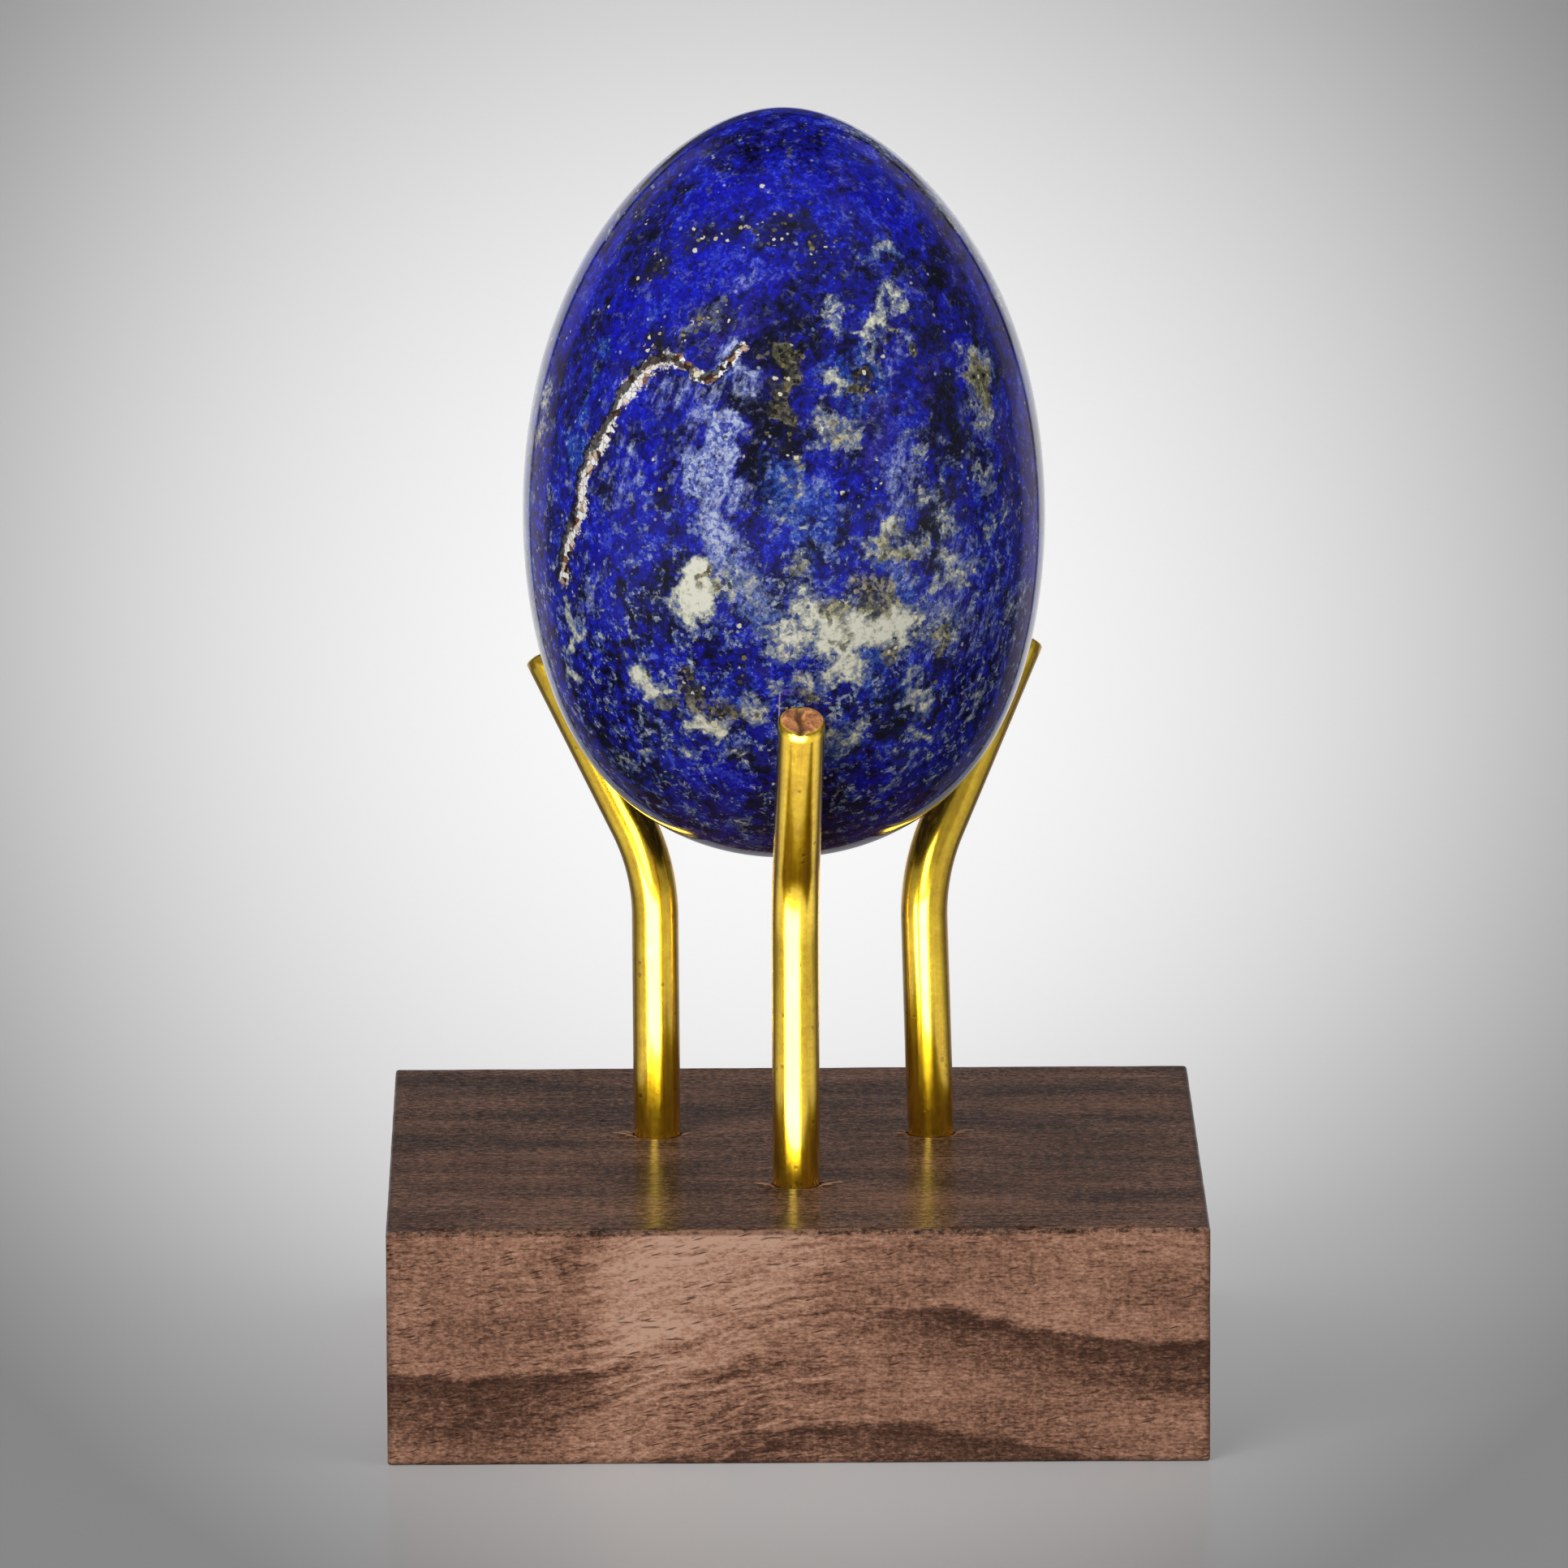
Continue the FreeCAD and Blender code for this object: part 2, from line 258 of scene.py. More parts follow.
def new_group(name, inputs, outputs):
    """An empty shader group with named sockets: its tree, its helper, what comes in and where it goes out."""
    tree = bpy.data.node_groups.new(name, "ShaderNodeTree")
    for socket, kind, value in inputs:
        made = tree.interface.new_socket(name=socket, in_out="INPUT", socket_type=f"NodeSocket{kind}")
        if value is not None:
            made.default_value = value
    for socket, kind in outputs:
        tree.interface.new_socket(name=socket, in_out="OUTPUT", socket_type=f"NodeSocket{kind}")
    helper = Tree(tree)
    coming = helper.node("NodeGroupInput").outputs
    going = helper.node("NodeGroupOutput").inputs
    return tree, helper, coming, going


def specks_group():
    """Small separate grains: each cell of the given size holds one, or none, by the given share."""
    inputs = (
        ("Place", "Vector", None), ("Size", "Float", 1.0),
        ("Share", "Float", 0.1), ("Softness", "Float", 0.3),
    )
    tree, t, coming, going = new_group("specks", inputs, (("Mask", "Float"), ("Tone", "Float")))
    scale = t.math("DIVIDE", 1.0, coming["Size"])
    cells = t.cells(t.warp(coming["Place"], t.times(scale, 1.3), 0.12), scale)
    chance, reach, tone = t.chances(cells)
    there = t.math("LESS_THAN", chance, coming["Share"])
    edge = t.spread(reach, 0.0, 1.0, 0.22, 0.52)
    filled = t.step(cells.outputs["Distance"], t.minus(edge, coming["Softness"]), edge, 1.0, 0.0)
    t.feed(going["Mask"], t.times(there, filled))
    t.feed(going["Tone"], tone)
    return tree


def mottle_group():
    """Cloudy patches with finer grain in them, as one value from 0 to 1."""
    inputs = (
        ("Place", "Vector", None), ("Coarse", "Float", 1.0),
        ("Fine", "Float", 5.0), ("Contrast", "Float", 2.0),
    )
    tree, t, coming, going = new_group("mottle", inputs, (("Tone", "Float"),))
    coarse = t.noise(coming["Place"], coming["Coarse"], 4.0, 0.62)
    fine = t.noise(coming["Place"], coming["Fine"], 3.0, 0.7)
    both = t.plus(t.times(coarse, 0.6), t.times(fine, 0.4))
    t.feed(going["Tone"], t.math("ADD", t.around_zero(both, coming["Contrast"]), 0.5, clamp=True))
    return tree


def ragged_group():
    """A soft field cut off at a half along a ragged line."""
    inputs = (
        ("Field", "Float", 0.0), ("Place", "Vector", None), ("Scale", "Float", 1.0),
        ("Raggedness", "Float", 1.0), ("Softness", "Float", 0.1),
    )
    tree, t, coming, going = new_group("ragged", inputs, (("Mask", "Float"),))
    rough = t.noise(coming["Place"], coming["Scale"], 5.0, 0.72)
    pushed = t.plus(coming["Field"], t.around_zero(rough, coming["Raggedness"]))
    t.feed(going["Mask"], t.step(pushed, t.minus(0.5, coming["Softness"]), t.plus(0.5, coming["Softness"])))
    return tree


def new_material(name):
    material = bpy.data.materials.new(name)
    material.use_nodes = True
    material.node_tree.nodes.clear()
    helper = Tree(material.node_tree)
    shader = helper.node("ShaderNodeBsdfPrincipled")
    helper.node("ShaderNodeOutputMaterial", {0: shader.outputs[0]})
    return material, helper, shader


# Mesh helpers

def new_piece(name, mesh, material, body, slot, *nodes):
    """A finished piece at the origin that rides on a body and stands for the named solids."""
    piece = placed(name, mesh)
    mesh.materials.clear()
    mesh.materials.append(material)
    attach(piece, body)
    if nodes:
        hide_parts(*nodes)
    return piece


def mesh_of(bm, name, smooth=True):
    mesh = bpy.data.meshes.new(name)
    for face in bm.faces:
        face.smooth = smooth
    bm.to_mesh(mesh)
    bm.free()
    return mesh


def read_points(mesh):
    points = np.empty(len(mesh.vertices) * 3)
    mesh.vertices.foreach_get("co", points)
    return points.reshape(-1, 3)


def write_field(mesh, name, values):
    attribute = mesh.attributes.new(name, "FLOAT", "POINT")
    attribute.data.foreach_set("value", np.asarray(values, dtype=np.float32))


# The stone's pattern

# Each stroke runs from x, y to x, y in pixels. Then come half its width in pixels and how strong it is.

CALCITE = (
    (860, 698, 850, 750, 19, 1.45), (853, 762, 852, 776, 8, 0.7), (898, 722, 925, 730, 20, 0.66),
    (1006, 768, 1056, 772, 22, 1.2), (1058, 778, 1106, 768, 23, 1.4), (1028, 798, 1046, 812, 20, 1.3),
    (998, 744, 1008, 752, 17, 0.82), (960, 772, 974, 796, 18, 0.92), (1117, 770, 1133, 760, 9, 0.9),
    (1164, 766, 1178, 783, 6, 0.95), (1152, 774, 1160, 780, 22, 0.62), (1127, 838, 1120, 860, 15, 0.92),
    (1138, 868, 1140, 876, 10, 0.92), (992, 847, 1000, 848, 11, 1.0), (1030, 915, 1055, 903, 12, 0.8),
    (1046, 878, 1048, 881, 8, 0.62), (1099, 932, 1104, 924, 8, 0.7), (1094, 965, 1103, 958, 10, 0.74),
    (1150, 956, 1154, 953, 10, 0.76), (1206, 862, 1208, 870, 10, 0.88), (1258, 716, 1262, 730, 11, 0.6),
    (1246, 742, 1250, 752, 13, 0.58), (1152, 718, 1193, 705, 10, 0.8), (1027, 462, 1032, 468, 13, 0.82),
    (1073, 446, 1077, 454, 10, 0.7), (1022, 526, 1036, 540, 22, 0.76), (1130, 552, 1148, 543, 12, 0.6),
    (1161, 576, 1163, 580, 8, 0.62), (1134, 600, 1141, 606, 12, 0.62), (1205, 578, 1211, 590, 14, 0.66),
    (1100, 643, 1106, 652, 11, 0.85), (1084, 673, 1126, 671, 16, 0.95), (1164, 646, 1168, 655, 10, 0.74),
    (1208, 638, 1212, 648, 10, 0.74), (1227, 642, 1229, 652, 8, 0.66), (1241, 620, 1246, 645, 5, 0.85),
    (1166, 678, 1171, 686, 11, 0.78), (983, 596, 990, 606, 13, 0.84), (955, 634, 959, 642, 11, 0.6),
    (980, 655, 990, 652, 5, 0.95), (986, 692, 994, 695, 15, 0.6), (980, 562, 980, 570, 6, 1.05),
    (1070, 417, 1101, 365, 11, 0.92), (1022, 400, 1030, 391, 11, 0.62), (1052, 324, 1104, 301, 9, 0.6),
    (1204, 446, 1212, 506, 21, 0.84), (784, 830, 806, 854, 14, 1.25), (860, 888, 884, 900, 11, 1.3),
    (848, 880, 862, 886, 12, 0.66), (918, 876, 942, 874, 14, 0.78), (765, 903, 770, 912, 8, 0.8),
    (795, 925, 802, 934, 9, 0.8), (846, 920, 852, 922, 7, 0.85), (868, 926, 880, 932, 11, 0.62),
    (918, 922, 922, 928, 8, 0.74), (770, 940, 778, 946, 9, 0.62), (912, 1008, 928, 1024, 9, 0.7),
    (704, 764, 712, 782, 9, 0.98), (703, 794, 708, 810, 9, 0.95), (705, 828, 710, 846, 8, 0.95),
    (694, 742, 700, 748, 7, 0.9), (752, 840, 756, 846, 7, 0.66), (766, 798, 772, 806, 8, 0.55),
    (1124, 902, 1140, 914, 9, 0.86), (733, 716, 726, 742, 8, 0.6), (936, 774, 940, 778, 5, 0.85),
    (913, 771, 914, 771, 4, 1.1), (888, 762, 892, 766, 6, 0.8), (950, 838, 956, 846, 9, 0.66),
)
# Lilac veils, partly the stone's own and partly painted reflection: the pale streak left of the middle and the
# veils along the lower left and right edges are painted reflections.
HAZE_AND_PAINTED_REFLECTIONS = (
    (882, 486, 858, 610, 23, 0.54), (900, 508, 890, 600, 11, 1.2), (882, 504, 846, 606, 9, 1.15),
    (872, 560, 866, 632, 10, 0.95), (836, 404, 880, 388, 14, 0.7), (905, 596, 884, 640, 12, 0.85),
    (878, 630, 888, 676, 15, 0.9), (1112, 560, 1104, 626, 22, 0.55), (1180, 700, 1220, 790, 44, 0.38),
    (1166, 760, 1150, 800, 26, 0.5), (905, 700, 930, 740, 24, 0.6), (900, 440, 918, 470, 14, 0.75),
    (800, 470, 850, 480, 20, 0.45), (735, 700, 722, 760, 11, 0.55), (775, 560, 760, 620, 12, 0.5),
    (1085, 725, 1110, 700, 16, 0.5), (1090, 480, 1106, 420, 12, 0.45), (915, 350, 935, 330, 22, 0.35),
    (664, 760, 692, 860, 15, 0.5), (692, 860, 752, 962, 16, 0.55), (1190, 950, 1225, 900, 16, 0.5),
)
AZURE = (
    (746, 430, 716, 520, 12, 0.75), (702, 548, 714, 560, 15, 1.0), (700, 640, 690, 690, 9, 0.7),
    (840, 452, 900, 470, 9, 0.6), (1078, 326, 1112, 305, 10, 0.5), (775, 600, 750, 650, 14, 0.45),
    (960, 600, 1010, 640, 34, 0.6), (925, 720, 936, 750, 14, 0.85), (1090, 705, 1120, 722, 14, 0.6),
    (1050, 490, 1066, 500, 12, 0.6), (1040, 440, 1080, 470, 22, 0.55), (822, 380, 850, 350, 24, 0.4),
    (706, 790, 710, 770, 8, 0.85), (1212, 430, 1226, 470, 9, 0.6), (1060, 815, 1100, 850, 26, 0.45),
    (870, 850, 900, 850, 20, 0.4), (1030, 930, 1000, 960, 18, 0.45), (1180, 600, 1230, 660, 26, 0.35),
)
ROYAL = (
    (775, 400, 880, 322, 36, 1.0), (880, 242, 1010, 242, 30, 0.85), (1076, 240, 1110, 262, 30, 0.95),
    (880, 320, 940, 340, 26, 0.6), (745, 670, 792, 560, 20, 0.85), (770, 480, 790, 520, 16, 0.7),
    (750, 720, 780, 640, 26, 0.6), (1040, 600, 1060, 560, 26, 0.4), (905, 830, 880, 800, 26, 0.5),
    (1080, 640, 1050, 700, 20, 0.5), (1120, 700, 1140, 680, 13, 0.8), (1190, 660, 1200, 600, 16, 0.6),
    (1130, 720, 1110, 740, 16, 0.7), (850, 940, 910, 960, 30, 0.6), (930, 905, 945, 890, 16, 0.8),
    (1060, 965, 1090, 985, 24, 0.6), (1150, 900, 1130, 930, 18, 0.55), (1180, 420, 1190, 480, 16, 0.7),
    (700, 620, 690, 660, 12, 0.5), (960, 820, 900, 860, 22, 0.5), (750, 330, 700, 420, 24, 0.6),
)
# Deep dark zones, mostly the stone's own; the strokes down the right edge are painted shade.
NIGHT_AND_PAINTED_SHADE = (
    (985, 352, 962, 424, 26, 0.62), (938, 500, 944, 606, 17, 0.8), (1142, 306, 1156, 330, 18, 0.75),
    (1164, 470, 1180, 560, 18, 0.6), (1150, 602, 1145, 700, 12, 0.85), (1120, 740, 1132, 780, 10, 0.8),
    (700, 832, 786, 956, 12, 0.75), (786, 980, 866, 1020, 13, 1.0), (866, 790, 880, 806, 16, 0.5),
    (1263, 744, 1240, 850, 10, 0.9), (1240, 850, 1205, 915, 12, 0.6), (1032, 985, 1020, 1040, 26, 0.7),
    (770, 1000, 900, 1040, 16, 0.7), (1078, 862, 1110, 900, 18, 0.6), (780, 880, 800, 900, 14, 0.55),
    (1140, 440, 1150, 400, 16, 0.45), (985, 560, 960, 560, 14, 0.6), (830, 700, 800, 760, 20, 0.45),
    (985, 712, 960, 735, 10, 0.8), (690, 470, 715, 400, 12, 0.6), (1100, 990, 1150, 975, 16, 0.6),
    (935, 950, 950, 1020, 14, 0.6), (1060, 520, 1050, 600, 16, 0.5), (1186, 540, 1200, 560, 14, 0.6),
)
# Violet zones, partly the stone's own and partly painted reflection: the bands down the right edge and at the
# lower left edge are painted reflections.
VIOLET_AND_PAINTED_REFLECTIONS = (
    (1023, 205, 1040, 230, 26, 0.55), (1160, 290, 1186, 340, 18, 0.7), (1143, 450, 1148, 490, 9, 0.95),
    (1090, 500, 1075, 560, 28, 0.7), (1236, 520, 1248, 640, 15, 0.9), (920, 350, 930, 400, 26, 0.5),
    (870, 430, 900, 400, 16, 0.6), (1200, 740, 1190, 800, 24, 0.6), (860, 960, 900, 1000, 24, 0.45),
    (1160, 900, 1190, 860, 22, 0.6), (930, 780, 930, 820, 16, 0.6), (820, 560, 830, 620, 20, 0.45),
    (690, 300, 740, 240, 22, 0.6), (1180, 250, 1140, 210, 18, 0.5), (700, 940, 740, 1000, 16, 0.9),
)
OCHRE = (
    (1068, 728, 1090, 742, 20, 1.0), (1092, 668, 1120, 680, 13, 0.9), (1022, 754, 1030, 758, 12, 0.85),
    (1038, 792, 1044, 800, 10, 0.8), (1160, 788, 1163, 796, 11, 1.0), (880, 706, 874, 724, 7, 1.1),
    (1210, 640, 1212, 646, 6, 0.8), (990, 857, 1002, 859, 11, 0.9), (836, 750, 838, 756, 7, 0.6),
    (1206, 462, 1213, 498, 15, 1.05), (1100, 405, 1108, 409, 6, 0.9), (1050, 476, 1058, 478, 10, 1.1),
    (1029, 530, 1034, 540, 16, 0.5), (970, 440, 968, 512, 11, 1.05), (930, 872, 936, 866, 7, 0.7),
    (840, 848, 880, 870, 22, 0.7), (985, 692, 994, 698, 10, 0.6), (1124, 432, 1126, 442, 7, 0.9),
)
ORE = (
    (790, 340, 856, 300, 13, 0.96), (856, 300, 950, 283, 13, 0.9), (950, 283, 985, 268, 14, 1.0),
    (985, 268, 1006, 308, 13, 0.92), (806, 424, 840, 412, 11, 0.94), (840, 412, 862, 394, 14, 1.05),
    (862, 394, 895, 385, 13, 1.05), (1012, 316, 1032, 294, 5, 0.95), (970, 440, 962, 468, 12, 1.0),
    (966, 470, 971, 514, 9, 1.25), (976, 520, 981, 566, 7, 0.95), (981, 572, 979, 576, 6, 0.95),
    (1086, 566, 1084, 626, 4, 0.9), (880, 706, 874, 724, 6, 0.95), (838, 848, 862, 842, 12, 0.8),
    (862, 842, 880, 868, 12, 0.9), (880, 868, 900, 878, 12, 1.05), (1092, 803, 1106, 796, 8, 1.1),
    (1124, 432, 1126, 442, 7, 0.75), (1054, 446, 1058, 478, 7, 0.8), (1048, 478, 1072, 476, 7, 0.85),
    (1206, 460, 1213, 498, 11, 0.76), (964, 530, 972, 556, 9, 0.7), (912, 806, 914, 850, 7, 0.78),
    (960, 868, 990, 864, 8, 0.6), (696, 740, 706, 752, 8, 0.75), (1145, 892, 1146, 898, 4, 0.9),
    (1163, 906, 1166, 920, 6, 0.8), (1160, 884, 1168, 886, 5, 0.8), (806, 858, 816, 866, 6, 0.9),
    (794, 346, 750, 380, 8, 0.5),
)
# Painted glints: points where small crystals are made near-white, as if catching the light.
GLINTS = (
    (939, 229, 3.0), (796, 276, 2.0), (750, 378, 2.4), (1088, 439, 3.2), (805, 566, 2.6), (820, 566, 2.2),
    (813, 603, 3.0), (1038, 607, 3.0), (1200, 703, 3.6), (1160, 629, 2.4), (953, 966, 2.6), (1034, 839, 3.0),
    (1128, 761, 3.4), (1096, 803, 3.2), (1104, 798, 3.2), (976, 884, 2.6), (911, 771, 3.6), (859, 461, 5.4),
    (880, 892, 5.5), (868, 902, 3.6), (955, 466, 3.4), (971, 467, 3.0), (981, 564, 4.0), (1085, 595, 2.8),
    (1017, 304, 2.0), (876, 708, 3.0), (1166, 919, 2.4), (1145, 897, 2.6), (945, 534, 2.6), (898, 395, 2.6),
)
VEIN = (
    (916, 428, 5), (900, 446, 6), (886, 458, 6), (868, 468, 6), (852, 458, 5), (838, 446, 7), (820, 442, 9),
    (808, 446, 10), (796, 456, 9), (786, 466, 11), (776, 478, 10), (766, 492, 8), (758, 508, 9),
    (750, 524, 10), (742, 540, 10), (734, 552, 10), (727, 568, 8), (721, 584, 7), (717, 600, 8),
    (716, 618, 10), (712, 636, 10), (706, 652, 8), (699, 668, 10), (697, 682, 9), (696, 698, 7),
    (694, 716, 6),
)
VEIN_SHADE_SHIFT, VEIN_SHADE_WIDTH = (-6, -2), 0.62
SEEN_GAIN, STROKE_SPREAD = 1.2, 1.15
BACK_SEED, BACK_HEADINGS, BACK_HEIGHTS = 41, (72, 288), (0.07, 0.93)
# Blender's own noise_vector starts from the clock, so three fixed places in the plain noise take its part.
WANDER_OFFSETS = Vector((0.31, -0.52, 0.17)), Vector((-0.74, 0.26, 0.63)), Vector((0.45, 0.88, -0.39))
STONE_FIELDS = (
    "calcite", "haze_and_reflections", "azure", "royal", "night", "violet_and_reflections", "ochre", "ore", "glint", "vein", "vein_shade",
)


def egg_profile_mesh(width, height):
    """The egg's half outline as a run of edges, from the blunt end up to the pointed end."""
    curve = bpy.data.curves.new("egg_outline", "CURVE")
    curve.dimensions = "3D"
    spline = curve.splines.new("NURBS")
    spline.points.add(len(EGG_OUTLINE_SHARES) - 1)
    for point, (across, up) in zip(spline.points, EGG_OUTLINE_SHARES):
        point.co = (across * width / 2, 0, up * height, 1)
    spline.order_u = 4
    spline.use_endpoint_u = True
    spline.resolution_u = EGG_RINGS_A_SPAN
    holder = placed("egg_outline", curve)
    mesh = bpy.data.meshes.new_from_object(holder)
    bpy.data.objects.remove(holder)
    return mesh


def egg_mesh():
    """The egg where its solid is: the half outline spun through a quarter, and three turned copies."""
    low, high = EGG_BOX
    bm = bmesh.new()
    bm.from_mesh(egg_profile_mesh(high.x - low.x, high.z - low.z))
    outline = bm.verts[:] + bm.edges[:]
    bmesh.ops.spin(bm, geom=outline, cent=(0, 0, 0), axis=(0, 0, 1), angle=math.tau / 4,
                   steps=EGG_STEPS_A_QUARTER)
    quarter = bm.verts[:] + bm.edges[:] + bm.faces[:]
    for turn in range(1, 4):
        copied = bmesh.ops.duplicate(bm, geom=quarter)["geom"]
        verts = [part for part in copied if isinstance(part, bmesh.types.BMVert)]
        bmesh.ops.rotate(bm, verts=verts, cent=(0, 0, 0), matrix=Matrix.Rotation(turn * math.tau / 4, 3, "Z"))
    bmesh.ops.remove_doubles(bm, verts=bm.verts, dist=1e-6)
    bmesh.ops.recalc_face_normals(bm, faces=bm.faces)
    middle = (low + high) / 2
    bmesh.ops.translate(bm, verts=bm.verts, vec=(middle.x, middle.y, low.z))
    return mesh_of(bm, "egg_stone")


def on_egg_by_pixel(surface, x, y):
    """The point of the egg that shows at a pixel, or None past its edge."""
    eye, ray = pixel_ray(x, y)
    return surface.ray_cast(eye, ray)[0]


def on_egg_by_heading(surface, heading, up):
    """The point of the egg at a heading from the front, in degrees, and a share of its height."""
    low, high = EGG_BOX
    axis = Vector(((low.x + high.x) / 2, (low.y + high.y) / 2, low.z + up * (high.z - low.z)))
    turn = math.radians(heading)
    ray = Vector((math.sin(turn), -math.cos(turn), 0))
    return surface.ray_cast(axis + ray * 0.1, -ray)[0]


def seen_strokes(surface, strokes, gain=1.0):
    """The strokes of the front, as places on the egg: start, end, half width and strength."""
    strokes_on_egg = []
    for x0, y0, x1, y1, half_width, strength in strokes:
        start, end = on_egg_by_pixel(surface, x0, y0), on_egg_by_pixel(surface, x1, y1)
        if start and end:
            strokes_on_egg.append((start, end, STROKE_SPREAD * half_width * PIXEL_ON_EGG, gain * strength))
    return strokes_on_egg


def back_strokes(surface, picker, count, half_widths, longest, strengths):
    """Strokes of the same kind, strewn over the side that the picture doesn't show."""
    strokes_on_egg = []
    for _ in range(count):
        heading, up = picker.uniform(*BACK_HEADINGS), picker.uniform(*BACK_HEIGHTS)
        length = picker.uniform(0, longest)
        start = on_egg_by_heading(surface, heading, up)
        end = on_egg_by_heading(surface, heading - 0.35 * length, min(0.97, up + 0.011 * length))
        if start and end:
            strokes_on_egg.append((start, end, picker.uniform(*half_widths) * MM, picker.uniform(*strengths)))
    return strokes_on_egg


def stroke_field(points, strokes):
    """For each point: a stroke's strength at its middle line, half of it at its edge, and nothing far out."""
    field = np.zeros(len(points))
    for start, end, reach, strength in strokes:
        start, end = np.array(start), np.array(end)
        along = end - start
        span = max(along @ along, 1e-12)
        share = np.clip((points - start) @ along / span, 0, 1)
        away = np.linalg.norm(points - start - share[:, None] * along, axis=1)
        fall = np.clip(away / (2 * reach), 0, 1)
        field = np.maximum(field, strength * (1 - fall * fall * (3 - 2 * fall)))
    return field


def wandered(points, reach, size):
    """The points, each pushed aside by up to about the reach, in lumps of about the size."""
    push = [[noise.noise(Vector(point) / size + offset) for offset in WANDER_OFFSETS] for point in points]
    return points + reach * np.array(push)


def write_stone_fields(mesh):
    """Writes where each mineral lies, and the painted reflections, shade and glints, as one field for each,
    onto the egg's points.
    """
    surface = BVHTree.FromPolygons([v.co for v in mesh.vertices], [p.vertices for p in mesh.polygons])
    straight = read_points(mesh)
    points = wandered(wandered(straight, 1.5 * MM, 1.9 * MM), 0.8 * MM, 0.75 * MM)
    picker = random.Random(BACK_SEED)
    # Its strokes in front, then how many lie behind, their half widths, greatest length and strengths.
    minerals_and_painted_light = (
        ("calcite", CALCITE, (46, (0.5, 2.0), 7, (0.6, 1.1))),
        ("haze_and_reflections", HAZE_AND_PAINTED_REFLECTIONS, (12, (1.0, 3.0), 14, (0.5, 0.9))),
        ("azure", AZURE, (14, (1.2, 3.0), 12, (0.5, 0.9))),
        ("royal", ROYAL, (14, (1.5, 2.6), 14, (0.5, 0.9))),
        ("night", NIGHT_AND_PAINTED_SHADE, (16, (0.8, 2.0), 14, (0.6, 1.0))),
        ("violet_and_reflections", VIOLET_AND_PAINTED_REFLECTIONS, (10, (1.0, 2.5), 14, (0.5, 0.8))),
        ("ochre", OCHRE, (16, (0.5, 1.4), 4, (0.6, 1.0))),
        ("ore", ORE, (34, (0.4, 1.0), 9, (0.5, 1.0))),
    )
    for name, strokes, back in minerals_and_painted_light:
        all_round = seen_strokes(surface, strokes, SEEN_GAIN) + back_strokes(surface, picker, *back)
        write_field(mesh, name, stroke_field(points, all_round))
    glints = seen_strokes(surface, [(x, y, x, y, reach + 1.5, 1.0) for x, y, reach in GLINTS])
    glints += back_strokes(surface, picker, 40, (0.26, 0.4), 0, (1.0, 1.0))
    write_field(mesh, "glint", stroke_field(straight, glints))
    both_veins = (("vein", (0, 0), 1.0), ("vein_shade", VEIN_SHADE_SHIFT, VEIN_SHADE_WIDTH))
    for name, (aside, down), width in both_veins:
        runs = [(x0 + aside, y0 + down, x1 + aside, y1 + down, width * reach, 1.0)
                for (x0, y0, reach), (x1, y1, _) in zip(VEIN, VEIN[1:])]
        vein = seen_strokes(surface, runs)
        turns = [on_egg_by_heading(surface, 150 + 7 * n + 9 * math.sin(1.3 * n) + aside / 8, 0.30 + 0.045 * n)
                 for n in range(11)]
        vein += [(first, second, 0.46 * width * MM, 1.0) for first, second in zip(turns, turns[1:])]
        write_field(mesh, name, stroke_field(wandered(straight, 0.45 * MM, 1.1 * MM), vein))


